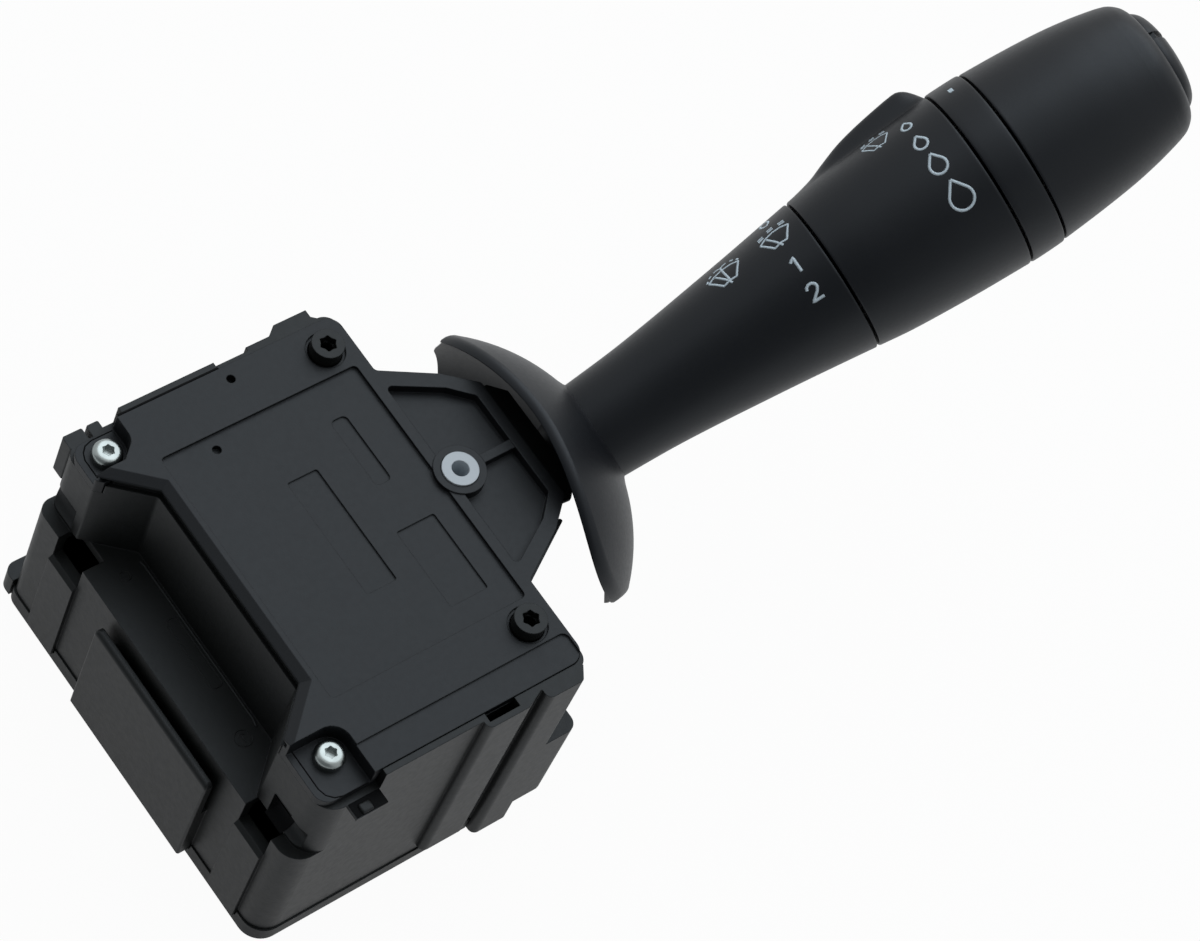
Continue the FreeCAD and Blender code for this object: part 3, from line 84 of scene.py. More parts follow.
# Domed guard. Its skin is turned plain, from PLAIN_BORE outwards, and then laid on the ball.
GUARD_BALL = 33.6
GUARD_WALL = 1.3
GUARD_WIDE_HIGH_SIDE = 27.0
GUARD_WIDE_LOW_SIDE = 25.9
GUARD_HALF_HIGH = 19.7
GUARD_FULLNESS = 2.3
GUARD_UNDER_FULLNESS = 1.4
GUARD_UNDER_SWING = 2.5
GUARD_TIP_TURN = math.radians(72.0)
GUARD_TIP_HIGH_SIDE = 25.6
GUARD_TIP_LOW_SIDE = 24.6
GUARD_TIP_FLATTEST = 0.1
GUARD_BORE = 8.0
GUARD_COLLAR = 9.9
GUARD_COLLAR_RISE = 0.6
GUARD_STEPS = 240
PLAIN_BORE = 10.0
PLAIN_WIDTH = 20.0

# Finger fin of the twist ring
FIN_TURN = math.radians(76.0)
FIN_HALF = math.radians(17.0)
FIN_FLANK = 0.72
FIN_CREST = [(79.0, 13.7), (83.5, 14.65), (86.6, 15.75), (90.1, 16.95), (92.8, 17.6), (95.5, 18.1), (99.3, 18.66),
             (101.8, 18.95), (103.2, 18.95), (104.5, 18.25), (105.6, 17.0), (106.3, 15.9)]
RING_STEPS = 360
RING_OUTSIDE = 10.0

# Mouth of the end knob and the button in it
KNOB_MOUTH_R = 9.25
KNOB_MOUTH_EDGE = 140.9
KNOB_MOUTH_FLOOR = 134.0
PAD_R = 9.15
PAD_DEPTH = 4.0
PAD_RISE = 3.3
PAD_STEPS = 120
PAD_BED_BORE = 5.8
PAD_BED_STEPS = 96
BUTTON_GROOVE = 1.2
GROOVE_HALF = 0.65

# Levels of the housing, from the face of the cover plate
CHANNEL_LEVEL = -20.0
TAB_SEAM_LEVEL = -3.5
COVER_LEVEL = 0.0

# Painted shade in the mouth of the low window: a sheet on part of a round tunnel across the housing
WINDOW_MIDDLE = Vector((-52.6, 0.0, -16.8)) * MM
WINDOW_R = 2.96
WINDOW_SIDES = (-32.2, -27.9)
WINDOW_START = math.radians(-15.0)
WINDOW_SWEEP = math.radians(-140.0)
WINDOW_SHEET = 0.03

# Strokes: how proud paint and the painted shadow lines of the seams stand, and how far apart their points lie
PAINT_LIFT = 0.03
STROKE_STEP = 0.25

# Camera of the photograph, with its width and focal length in pixels and the sensor in millimetres
PHOTO_W = 1200
FOCAL_PX = 4150.0
SENSOR = 36.0
CAMERA_RIGHT = Vector((0.7690, -0.5782, 0.2728))
CAMERA_AHEAD = Vector((0.5000, 0.2782, -0.8200))
CAMERA_FROM_TILT_AXIS = Vector((-307.4, -193.1, 537.6)) * MM

# Soft boxes that glossy faces mirror: towards, cosine where it fades out, cosine where it is full, share of white
SOFT_BOXES = [((0.50, 0.28, 0.82), 0.28, 0.70, 1.0), ((-0.25, 0.81, 0.54), 0.68, 0.86, 0.75),
              ((0.34, -0.774, 0.536), 0.72, 0.94, 0.70)]

# The rest of the studio, in metres
SOFT_WORLD = 0.27
SOFT_WORLD_TINT = (0.95, 0.98, 1.0, 1.0)
WHITE = (1.0, 1.0, 1.0, 1.0)
FLOOR_HALF = 3.0
FLOOR_GAP = 0.0005
FLOOR_WHITE = (0.80, 0.80, 0.80, 1.0)
FLOOR_MIRRORED = 0.65
FLOOR_GLOW = 0.96
KEY_PLACE = (0.72, 0.42, 1.15)
KEY_TARGET = (0.07, 0.0, 0.0)
KEY_SIDE = 1.6
KEY_POWER = 12.5
KEY_TINT = (0.90, 0.96, 1.0)


# Small tools for meshes

def smooth_through(points, spans):
    """A soft line through (x, r) points, with that many runs between two of them."""
    line = []
    for i in range(len(points) - 1):
        a = Vector(points[max(i - 1, 0)])
        b = Vector(points[i])
        c = Vector(points[i + 1])
        d = Vector(points[min(i + 2, len(points) - 1)])
        for k in range(spans):
            t = k / spans
            line.append(0.5 * ((2 * b) + (c - a) * t + (2 * a - 5 * b + 4 * c - d) * t * t
                               + (3 * b - a - 3 * c + d) * t * t * t))
    line.append(Vector(points[-1]))
    return line


def rounded_corner(before, corner, after, size, runs=4):
    """Points of a soft corner between two straight runs."""
    corner = Vector(corner)
    first = (Vector(before) - corner).normalized() * size
    last = (Vector(after) - corner).normalized() * size
    points = []
    for k in range(runs + 1):
        t = k / runs
        points.append(corner + first * (1 - t) ** 2 + last * t ** 2)
    return points


def turned(line, steps, closed):
    """A mesh turned about the lever's axis from an open or closed line of (along, radius) points."""
    bm = bmesh.new()
    verts = [bm.verts.new((x * MM, 0.0, r * MM)) for x, r in line]
    pairs = list(zip(verts, verts[1:]))
    if closed:
        pairs.append((verts[-1], verts[0]))
    edges = [bm.edges.new(pair) for pair in pairs]
    bmesh.ops.spin(bm, geom=verts + edges, cent=(0, 0, 0), axis=(1, 0, 0), angle=math.tau, steps=steps,
                   use_merge=True)
    bmesh.ops.remove_doubles(bm, verts=bm.verts, dist=WELD)
    return bm


def spun(loop, steps=LEVER_STEPS):
    """A ring turned about the lever's axis from a closed loop, with its faces outwards."""
    bm = turned(loop, steps, closed=True)
    bmesh.ops.recalc_face_normals(bm, faces=bm.faces)
    return bm


def finish_piece(name, bm, body, material, place=None, crease=30.0):
    """Turn the mesh into a piece of the scene that rides on a body."""
    if place is not None:
        bmesh.ops.transform(bm, matrix=place, verts=bm.verts)
    mesh = bpy.data.meshes.new(name)
    bm.to_mesh(mesh)
    bm.free()
    mesh.polygons.foreach_set("use_smooth", [True] * len(mesh.polygons))
    mesh.set_sharp_from_angle(angle=math.radians(crease))
    mesh.materials.append(material)
    piece = bpy.data.objects.new(name, mesh)
    bpy.context.scene.collection.objects.link(piece)
    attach(piece, body)
    return piece


# Tools for materials

def math_node(nodes, operation, value=None):
    """A math node, with its second value if that is fixed."""
    node = nodes.new("ShaderNodeMath")
    node.operation = operation
    if value is not None:
        node.inputs[1].default_value = value
    return node


def moulded_grain():
    """Fine spark-eroded grain with broad, faint cloudiness, as a group that the finishes share."""
    group = bpy.data.node_groups.new("moulded_grain", "ShaderNodeTree")
    for name, value in (("Grain Scale", 3200.0), ("Cloud Scale", 45.0)):
        socket = group.interface.new_socket(name=name, in_out="INPUT", socket_type="NodeSocketFloat")
        socket.default_value = value
    for name in ("Height", "Cloud", "Speck"):
        group.interface.new_socket(name=name, in_out="OUTPUT", socket_type="NodeSocketFloat")
    nodes = group.nodes
    links = group.links
    entry = nodes.new("NodeGroupInput")
    leave = nodes.new("NodeGroupOutput")
    place = nodes.new("ShaderNodeTexCoord")
    fine = nodes.new("ShaderNodeTexNoise")
    fine.inputs["Detail"].default_value = 2.0
    coarse = nodes.new("ShaderNodeTexVoronoi")
    coarse.feature = "SMOOTH_F1"
    coarse_scale = math_node(nodes, "MULTIPLY", 0.45)
    height = math_node(nodes, "MULTIPLY_ADD", 0.5)
    cloud = nodes.new("ShaderNodeTexNoise")
    cloud.inputs["Detail"].default_value = 5.0
    speck = nodes.new("ShaderNodeTexNoise")
    speck.inputs["Detail"].default_value = 1.0
    speck_scale = math_node(nodes, "MULTIPLY", 0.35)
    for node in (fine, coarse, cloud, speck):
        links.new(place.outputs["Object"], node.inputs["Vector"])
    links.new(entry.outputs["Grain Scale"], fine.inputs["Scale"])
    links.new(entry.outputs["Grain Scale"], coarse_scale.inputs[0])
    links.new(coarse_scale.outputs[0], coarse.inputs["Scale"])
    links.new(entry.outputs["Grain Scale"], speck_scale.inputs[0])
    links.new(speck_scale.outputs[0], speck.inputs["Scale"])
    links.new(entry.outputs["Cloud Scale"], cloud.inputs["Scale"])
    links.new(coarse.outputs["Distance"], height.inputs[0])
    links.new(fine.outputs["Fac"], height.inputs[2])
    links.new(height.outputs[0], leave.inputs["Height"])
    links.new(cloud.outputs["Fac"], leave.inputs["Cloud"])
    links.new(speck.outputs["Fac"], leave.inputs["Speck"])
    return group


GRAIN = moulded_grain()
# Painted reflection: a bluish tint on the plastics' reflections, standing in for cool light
PAINTED_COOL_REFLECTION = (0.86, 0.93, 1.0, 1.0)
BEVEL_SAMPLES = 4


def fresh_material(name):
    material = bpy.data.materials.new(name)
    material.use_nodes = True
    shader = material.node_tree.nodes["Principled BSDF"]
    return material, material.node_tree.nodes, material.node_tree.links, shader


def grained(name, colour, spread, grain_scale, roughness_range, edge, bump_strength, bump_depth):
    """A finish with the shared grain: clouds in its colour, specks in its gloss, and softly rounded edges."""
    material, nodes, links, shader = fresh_material(name)
    grain = nodes.new("ShaderNodeGroup")
    grain.node_tree = GRAIN
    grain.inputs["Grain Scale"].default_value = grain_scale
    tint = nodes.new("ShaderNodeMix")
    tint.data_type = "RGBA"
    tint.inputs["A"].default_value = tuple(c * (1 - spread) for c in colour) + (1.0,)
    tint.inputs["B"].default_value = tuple(min(c * (1 + spread), 1.0) for c in colour) + (1.0,)
    gloss = nodes.new("ShaderNodeMapRange")
    gloss.inputs["To Min"].default_value = roughness_range[0]
    gloss.inputs["To Max"].default_value = roughness_range[1]
    rounding = nodes.new("ShaderNodeBevel")
    rounding.samples = BEVEL_SAMPLES
    rounding.inputs["Radius"].default_value = edge * MM
    bump = nodes.new("ShaderNodeBump")
    bump.inputs["Strength"].default_value = bump_strength
    bump.inputs["Distance"].default_value = bump_depth * MM
    links.new(grain.outputs["Cloud"], tint.inputs["Factor"])
    links.new(tint.outputs["Result"], shader.inputs["Base Color"])
    links.new(grain.outputs["Speck"], gloss.inputs["Value"])
    links.new(gloss.outputs["Result"], shader.inputs["Roughness"])
    links.new(rounding.outputs["Normal"], bump.inputs["Normal"])
    links.new(grain.outputs["Height"], bump.inputs["Height"])
    links.new(bump.outputs["Normal"], shader.inputs["Normal"])
    return material, shader, grain, gloss


def moulded(name, colour, roughness, grain_scale=3200.0, grain_depth=0.05, spread=0.12, specular=0.5):
    """Moulded plastic."""
    material, shader, _, gloss = grained(name, colour, spread, grain_scale, (roughness - 0.02, roughness + 0.02),
                                         edge=0.22, bump_strength=grain_depth * 4, bump_depth=0.05)
    gloss.inputs["From Min"].default_value = 0.3
    gloss.inputs["From Max"].default_value = 0.7
    shader.inputs["Specular IOR Level"].default_value = specular
    shader.inputs["Specular Tint"].default_value = PAINTED_COOL_REFLECTION
    return material


def metal(name, colour, roughness, brush=900.0, spread=0.08):
    """Plated or bare metal with fine uneven polish."""
    material, shader, grain, _ = grained(name, colour, spread, brush, (roughness - 0.07, roughness + 0.1),
                                         edge=0.12, bump_strength=0.08, bump_depth=0.02)
    grain.inputs["Cloud Scale"].default_value = 400.0
    shader.inputs["Metallic"].default_value = 1.0
    return material


# Finishes

HOUSING = moulded("housing_plastic", (0.0062, 0.0068, 0.0064), 0.46, grain_scale=2600.0, grain_depth=0.06,
                  specular=0.27)
COVER = moulded("cover_plastic", (0.0042, 0.0047, 0.0055), 0.45, grain_scale=3000.0, specular=0.27)
BASE = moulded("base_plastic", (0.0060, 0.0064, 0.0062), 0.50, grain_scale=2600.0, grain_depth=0.06, specular=0.27)
CONNECTOR = moulded("connector_plastic", (0.006, 0.006, 0.0065), 0.45, specular=0.27)
SOFT_BLACK = moulded("soft_black", (0.0024, 0.0030, 0.0046), 0.41, grain_scale=4200.0, grain_depth=0.035, spread=0.10,
                     specular=0.33)
CORE = moulded("core_plastic", (0.006, 0.006, 0.0065), 0.50, specular=0.27)
WHITE_ACETAL = moulded("white_acetal", (0.55, 0.60, 0.64), 0.36, grain_scale=1800.0, grain_depth=0.02, spread=0.04)
PALE_ACETAL = moulded("pale_acetal", (0.55, 0.54, 0.47), 0.38, grain_scale=1800.0, grain_depth=0.02, spread=0.05)
BOARD = moulded("printed_board", (0.03, 0.13, 0.06), 0.35, grain_scale=1500.0, grain_depth=0.02)
PAINT = moulded("mark_paint", (0.66, 0.77, 0.85), 0.55, grain_scale=5000.0, grain_depth=0.02, spread=0.07)
# Painted shade: near-black for the shadow in the seams' gaps, in the recess round the low tab's clip and in the low
# window's mouth
PAINTED_SHADE = moulded("seam_shadow", (0.0012, 0.0012, 0.0013), 0.7, specular=0.1)
ZINC = metal("zinc_screws", (0.30, 0.335, 0.335), 0.30, brush=1500.0, spread=0.3)
SPRING = metal("spring_wire", (0.50, 0.50, 0.51), 0.28)
COPPER = metal("contact_copper", (0.72, 0.42, 0.24), 0.30)
TINNED = metal("tinned_blades", (0.66, 0.64, 0.58), 0.26)

NODE_FINISHES = {
    "housing": HOUSING, "cover_plate": COVER, "base_cover": BASE, "connector_socket": CONNECTOR,
    "terminal_pins": TINNED, "contact_board": BOARD, "contact_tracks": COPPER, "cover_screws": ZINC,
    "base_screws": ZINC, "detent_track": PALE_ACETAL, "tilt_carrier": WHITE_ACETAL, "detent_plunger": PALE_ACETAL,
    "detent_spring": SPRING, "pull_pin": SPRING, "pull_plunger": PALE_ACETAL, "pull_spring": SPRING,
    "tilt_slider": WHITE_ACETAL, "slider_contacts": COPPER, "lever_core": CORE, "guard": SOFT_BLACK,
    "arm_sleeve": SOFT_BLACK, "core_tube": CORE, "stalk_board": BOARD, "index_ring": SOFT_BLACK,
    "interval_ring": SOFT_BLACK, "ring_contact_disc": BOARD, "ring_wiper": COPPER, "end_knob": SOFT_BLACK,
    "knob_contact_disc": BOARD, "knob_wiper": COPPER, "tip_button": SOFT_BLACK, "button_spring": SPRING}


def dress_solids():
    for name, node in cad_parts.items():
        finish = NODE_FINISHES[name]
        for place in node.material_slots:
            place.material = finish


# Lever pieces, each from its outer line of (along, radius) points

SLEEVE_LINE = smooth_through([(SLEEVE_START, 8.7), (41.4, 9.25), (49.2, 10.0), (56.9, 10.9), (64.7, 11.85),
                              (71.5, 12.75), (SLEEVE_END, 13.67)], 8)
RING_LINE = smooth_through([(RING_START, 13.7), (84.0, 14.45), (90.0, 14.98), (97.6, 15.5), (RING_END, 15.9)], 16)
FIN_LINE = smooth_through(FIN_CREST, 6)
INDEX_LINE = [Vector(point) for point in ((INDEX_START, 15.93), (108.0, 15.96), (110.0, 15.95), (111.5, 15.93),
                                          (INDEX_END, 15.88))]
INDEX_MARK_LINE = [Vector((INDEX_START, 15.95)), Vector((INDEX_END, 15.95))]
KNOB_SIDE = smooth_through([(KNOB_START, 15.72), (120.0, 15.28), (127.0, 14.62), (131.8, 13.9), (135.0, 13.25),
                            (KNOB_SHOULDER, 12.7)], 8)
KNOB_ROUND = smooth_through([(KNOB_SHOULDER, 12.7), (139.0, 12.1), (140.3, 11.1), (140.95, 10.1), (141.1, 9.35)], 6)


def radius_on(line, x):
    """Radius of a line at a place along the lever."""
    for a, b in zip(line, line[1:]):
        if a[0] <= x <= b[0]:
            t = (x - a[0]) / (b[0] - a[0])
            return a[1] + (b[1] - a[1]) * t
    return line[0][1] if x < line[0][0] else line[-1][1]


def hollow_loop(line, bore):
    """Close an outer line to a ring with softly rounded outer edges and a plain bore."""
    start = line[0]
    end = line[-1]
    loop = [Vector((start[0], bore))]
    loop += rounded_corner((start[0], bore), start, line[2], EDGE_ROUND)
    loop += [p for p in line if start[0] + EDGE_ROUND < p[0] < end[0] - EDGE_ROUND]
    loop += rounded_corner(line[-3], end, (end[0], bore), EDGE_ROUND)
    loop.append(Vector((end[0], bore)))
    return loop


def guard_reach(turn):
    """Distance of the guard's edge from the lever's axis at an angle round it."""
    under = max(0.0, -math.cos(turn))
    fullness = GUARD_FULLNESS + GUARD_UNDER_FULLNESS * min(1.0, under * GUARD_UNDER_SWING)
    wide = GUARD_WIDE_HIGH_SIDE if math.sin(turn) > 0 else GUARD_WIDE_LOW_SIDE
    across = abs(math.sin(turn)) / wide
    over = abs(math.cos(turn)) / GUARD_HALF_HIGH
    reach = (across ** fullness + over ** fullness) ** (-1 / fullness)
    tip = math.cos(turn - GUARD_TIP_TURN)
    limit = GUARD_TIP_HIGH_SIDE if tip > 0 else GUARD_TIP_LOW_SIDE
    return min(reach, limit / max(abs(tip), GUARD_TIP_FLATTEST))


def guard():
    """The domed guard: a thin shell of a sphere with a soft rim and a small collar round the sleeve."""
    # Share of the way out and depth under the ball, first along the outside and then back along the inside
    skin = [(share, 0.0) for share in (0.0, 0.06, 0.12, 0.18, 0.26)]
    skin += [(0.26 + 0.07 * k, 0.0) for k in range(1, 11)]
    skin += [(0.975, 0.0), (0.99, 0.12), (1.0, 0.4), (1.0, 0.9), (0.988, GUARD_WALL)]
    skin += [(0.97 - 0.097 * k, GUARD_WALL) for k in range(11)]
    bm = spun([(depth, PLAIN_BORE + PLAIN_WIDTH * share) for share, depth in skin], GUARD_STEPS)
    for vert in bm.verts:
        depth = vert.co.x / MM
        share = (math.hypot(vert.co.y, vert.co.z) / MM - PLAIN_BORE) / PLAIN_WIDTH
        turn = math.atan2(vert.co.y, vert.co.z)
        out = GUARD_BORE + (guard_reach(turn) - GUARD_BORE) * share
        ball = GUARD_BALL - depth
        if depth < 0.01:
            ball += GUARD_COLLAR_RISE * max(0.0, (GUARD_COLLAR - out) / (GUARD_COLLAR - GUARD_BORE)) ** 2
        vert.co = Vector((math.sqrt(ball * ball - out * out), out * math.sin(turn), out * math.cos(turn))) * MM
    bmesh.ops.recalc_face_normals(bm, faces=bm.faces)
    piece = finish_piece("guard_skin", bm, "lever", SOFT_BLACK, LEVER, crease=50.0)
    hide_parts("guard")


def arm_sleeve():
    bm = spun(hollow_loop(SLEEVE_LINE, CORE_BORE))
    piece = finish_piece("arm_sleeve_skin", bm, "lever", SOFT_BLACK, LEVER)
    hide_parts("arm_sleeve")


def fin_rise(x, turn):
    """Height of the finger fin above the ring at a place along it and round it."""
    base = radius_on(RING_LINE, x)
    crest = radius_on(FIN_LINE, x)
    offset = abs(turn - FIN_TURN) / FIN_HALF
    if offset >= 1.0 or crest <= base:
        return 0.0
    shape = min((1.0 - offset) / FIN_FLANK, 1.0)
    return (crest - base) * (shape * shape * (3.0 - 2.0 * shape))


def twist_ring():
    bm = spun(hollow_loop(RING_LINE, CORE_BORE), RING_STEPS)
    for vert in bm.verts:
        radius = math.hypot(vert.co.y, vert.co.z)
        if radius > RING_OUTSIDE * MM:
            turn = math.atan2(vert.co.y, vert.co.z)
            grow = 1.0 + fin_rise(vert.co.x / MM, turn) * MM / radius
            vert.co.y *= grow
            vert.co.z *= grow
    piece = finish_piece("twist_ring_skin", bm, "interval_ring", SOFT_BLACK, LEVER, crease=50.0)
    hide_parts("interval_ring")


def index_ring():
    bm = spun(hollow_loop(INDEX_LINE, CORE_BORE))
    piece = finish_piece("index_ring_skin", bm, "lever", SOFT_BLACK, LEVER)
    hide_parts("index_ring")


def end_knob():
    loop = [Vector((KNOB_START, CORE_BORE))]
    loop += rounded_corner((KNOB_START, CORE_BORE), KNOB_SIDE[0], KNOB_SIDE[2], EDGE_ROUND)
    loop += [p for p in KNOB_SIDE if p[0] > KNOB_START + EDGE_ROUND]
    loop += KNOB_ROUND[1:]
    loop += [Vector((KNOB_MOUTH_EDGE, KNOB_MOUTH_R)), Vector((KNOB_MOUTH_FLOOR, KNOB_MOUTH_R)),
             Vector((KNOB_MOUTH_FLOOR, CORE_BORE))]
    bm = spun(loop)
    piece = finish_piece("end_knob_skin", bm, "end_knob", SOFT_BLACK, LEVER, crease=40.0)
    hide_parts("end_knob")


def tip_button():
    """The push button in the knob's end: a low dome on a bed, parted by an off-centre groove."""
    seat = BUTTON_TIP - PAD_RISE
    bm = spun([(seat - 4.4, PAD_BED_BORE), (seat - 4.4, 9.1), (seat + 1.3, 8.6), (seat + 1.9, 6.4),
               (seat + 2.0, PAD_BED_BORE)], PAD_BED_STEPS)
    bed = finish_piece("tip_pad_bed", bm, "tip_button", SOFT_BLACK, LEVER, crease=40.0)
    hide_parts("tip_button")
    dome = smooth_through([(seat, PAD_R), (seat + 1.0, 8.95), (seat + 2.2, 7.6), (seat + 3.0, 4.6),
                           (BUTTON_TIP, 0.0)], 6)
    line = [Vector((seat - PAD_DEPTH, 0.0)), Vector((seat - PAD_DEPTH, PAD_R))] + dome
    for name, edge, away in (("tip_pad_large", BUTTON_GROOVE - GROOVE_HALF, 1),
                             ("tip_pad_small", BUTTON_GROOVE + GROOVE_HALF, -1)):
        bm = turned(line, PAD_STEPS, closed=False)
        cut = bmesh.ops.bisect_plane(bm, geom=bm.verts[:] + bm.edges[:] + bm.faces[:], plane_co=(0, edge * MM, 0),
                                     plane_no=(0, away, 0), clear_outer=True)
        rim = [e for e in cut["geom_cut"] if isinstance(e, bmesh.types.BMEdge)]
        bmesh.ops.edgeloop_fill(bm, edges=rim)
        bmesh.ops.recalc_face_normals(bm, faces=bm.faces)
        finish_piece(name, bm, "tip_button", SOFT_BLACK, LEVER, crease=40.0)


# Strokes of the marks, each a flat line of (along, round) points

def wiper_mark():
    """Windscreen with its wiper arm."""
    screen = [(-2.8, 0.15), (-1.5, 0.85), (0.0, 1.1), (1.5, 0.85), (2.8, 0.15), (1.25, -2.45), (0.0, -2.2),
              (-1.15, -2.45), (-2.8, 0.15)]
    arm = [(-1.45, 0.5), (-0.35, -1.6), (0.2, -2.95)]
    return [screen, arm]


def interval_mark():
    """The wiper mark with three double dashes over it."""
    dashes = []
    for u, v in ((-2.1, 1.35), (0.0, 1.95), (2.1, 1.45)):
        tilt = -0.12 * u
        for lift in (0.0, 0.5):
            dashes.append([(u - 0.55, v + lift - tilt * 0.5), (u + 0.55, v + lift + tilt * 0.5)])
    return wiper_mark() + dashes


def washer_mark():
    """The wiper mark with a jet that falls to both sides."""
    spray = [[(0.15, -2.2), (0.0, 0.0), (0.0, 1.9)], [(0.0, 1.9), (-0.7, 2.2), (-1.2, 2.1)],
             [(-1.8, 1.8), (-2.3, 1.4)], [(-2.7, 0.95), (-3.0, 0.45)], [(0.0, 1.9), (0.7, 2.2), (1.2, 2.1)],
             [(1.8, 1.8), (2.3, 1.4)], [(2.7, 0.95), (3.0, 0.45)]]
    return wiper_mark() + spray


def drop_mark(size):
    """A drop with its point up, three quarters as wide as it is high."""
    points = [(0.0, size * 0.5)]
    r = size * 0.37
    low = -size * 0.5 + r
    for k in range(17):
        angle = math.radians(28.0 - 236.0 * k / 16)
        points.append((r * math.cos(angle), low + r * math.sin(angle)))
    points.append((0.0, size * 0.5))
    return [points]


DIGITS = {
    "0": [[(math.cos(k * math.tau / 20) * 0.8, math.sin(k * math.tau / 20) * 1.3) for k in range(21)]],
    "1": [[(-0.65, 0.75), (0.15, 1.35), (0.15, -1.4)]],
    "2": [[(-0.9, 0.65), (-0.75, 1.1), (-0.3, 1.4), (0.3, 1.4), (0.8, 1.0), (0.85, 0.45), (0.5, -0.1),
           (-0.95, -1.35), (1.05, -1.35)]]}

# Name, strokes, place along the lever, degrees round it, line it lies on, body, width of the stroke, size
MARKS = [
    ("mark_0", DIGITS["0"], 73.4, 58.6, SLEEVE_LINE, "lever", 0.50, 1.0),
    ("mark_interval", interval_mark(), 73.4, 33.5, SLEEVE_LINE, "lever", 0.44, 1.0),
    ("mark_1", DIGITS["1"], 73.4, 1.5, SLEEVE_LINE, "lever", 0.55, 1.0),
    ("mark_2", DIGITS["2"], 73.4, -21.5, SLEEVE_LINE, "lever", 0.53, 1.0),
    ("mark_washer", washer_mark(), 63.5, 37.5, SLEEVE_LINE, "lever", 0.44, 1.06),
    ("mark_ring_wiper", interval_mark(), 95.2, 47.3, RING_LINE, "interval_ring", 0.34, 0.9),
    ("mark_drop_1", drop_mark(2.35), 100.5, 40.2, RING_LINE, "interval_ring", 0.5, 1.0),
    ("mark_drop_2", drop_mark(3.05), 100.5, 21.2, RING_LINE, "interval_ring", 0.5, 1.0),
    ("mark_drop_3", drop_mark(3.95), 100.6, 3.0, RING_LINE, "interval_ring", 0.5, 1.0),
    ("mark_drop_4", drop_mark(5.4), 100.8, -19.9, RING_LINE, "interval_ring", 0.5, 1.0),
    ("mark_dot", [[(-0.4, 0.0), (-0.3, 0.0), (0.3, 0.0), (0.4, 0.0)]], 109.8, 45.0, INDEX_MARK_LINE, "lever", 1.5,
     1.0)]


def wrap(point, x, turn, line, lift):
    """Lay a flat point of a mark on the lever: its width runs along, its height runs round."""
    place = x + point[0]
    radius = radius_on(line, place)
    angle = turn + point[1] / radius
    if line is RING_LINE:
        radius += fin_rise(place, angle)
    reach = radius + lift
    return Vector((place * MM, reach * math.sin(angle) * MM, reach * math.cos(angle) * MM))


def dense(stroke):
    """The stroke with more points, so that it can follow a round surface."""
    points = [Vector(stroke[0])]
    for a, b in zip(stroke, stroke[1:]):
        a = Vector(a)
        b = Vector(b)
        runs = max(1, int((b - a).length / STROKE_STEP))
        points += [a.lerp(b, k / runs) for k in range(1, runs + 1)]
    return points


def stroke_mesh(strokes, width, size=1.0):
    """Strokes as fine round tubes in the plane, ready to be laid on a surface."""
    curve = bpy.data.curves.new("stroke", "CURVE")
    curve.dimensions = "3D"
    curve.bevel_depth = width / 2
    curve.bevel_resolution = 2
    curve.use_fill_caps = True
    for stroke in strokes:
        points = dense([(u * size, v * size) for u, v in stroke])
        spline = curve.splines.new("POLY")
        spline.points.add(len(points) - 1)
        for target, point in zip(spline.points, points):
            target.co = (point.x, point.y, 0.0, 1.0)
    flat = bpy.data.objects.new("stroke", curve)
    mesh = bpy.data.meshes.new_from_object(flat)
    bm = bmesh.new()
    bm.from_mesh(mesh)
    bpy.data.objects.remove(flat)
    bpy.data.curves.remove(curve)
    bpy.data.meshes.remove(mesh)
    return bm


def marks():
    """Paint strokes wrapped on the lever."""
    for name, strokes, x, degrees, line, body, width, size in MARKS:
        bm = stroke_mesh(strokes, width, size)
        for vert in bm.verts:
            lift = PAINT_LIFT * vert.co.z / (width / 2)
            vert.co = wrap((vert.co.x, vert.co.y), x, math.radians(degrees), line, lift)
        bmesh.ops.recalc_face_normals(bm, faces=bm.faces)
        finish_piece(name, bm, body, PAINT, LEVER)


# Moulded lines and small forms of the housing, and the lines and sheets of painted shade on it, placed from the tilt
# axis

def raised_line(name, strokes, width, lift, level, material):
    """Fine lines on a level face of the housing."""
    bm = stroke_mesh(strokes, width)
    for vert in bm.verts:
        vert.co = TILT_AXIS + Vector((vert.co.x, vert.co.y, level + lift * vert.co.z / (width / 2))) * MM
    bmesh.ops.recalc_face_normals(bm, faces=bm.faces)
    finish_piece(name, bm, "housing", material)


def block(name, corners, low, high, material, edge=0.25):
    """A flat block on the housing with softly rounded edges, from its plan."""
    bm = bmesh.new()
    face = bm.faces.new([bm.verts.new((x * MM, y * MM, low * MM)) for x, y in corners])
    grown = bmesh.ops.extrude_face_region(bm, geom=[face])
    top = [item for item in grown["geom"] if isinstance(item, bmesh.types.BMVert)]
    bmesh.ops.translate(bm, verts=top, vec=(0, 0, (high - low) * MM))
    bmesh.ops.translate(bm, verts=bm.verts, vec=TILT_AXIS)
    bmesh.ops.recalc_face_normals(bm, faces=bm.faces)
    bmesh.ops.bevel(bm, geom=bm.edges[:], offset=edge * MM, affect="EDGES", segments=3, profile=0.5, material=-1)
    finish_piece(name, bm, "housing", material, crease=50.0)


def rounded_run(x0, y0, x1, y1, corner):
    """The outline of a round-cornered rectangle as one closed stroke."""
    points = []
    for cx, cy, start in ((x1 - corner, y1 - corner, 0), (x0 + corner, y1 - corner, 90),
                          (x0 + corner, y0 + corner, 180), (x1 - corner, y0 + corner, 270)):
        for k in range(5):
            angle = math.radians(start + 22.5 * k)
            points.append((cx + corner * math.cos(angle), cy + corner * math.sin(angle)))
    return points + points[:1]


def ring_run(x, y, radius):
    """A circle as one closed stroke."""
    return [(x + radius * math.cos(k * math.tau / 24), y + radius * math.sin(k * math.tau / 24)) for k in range(25)]


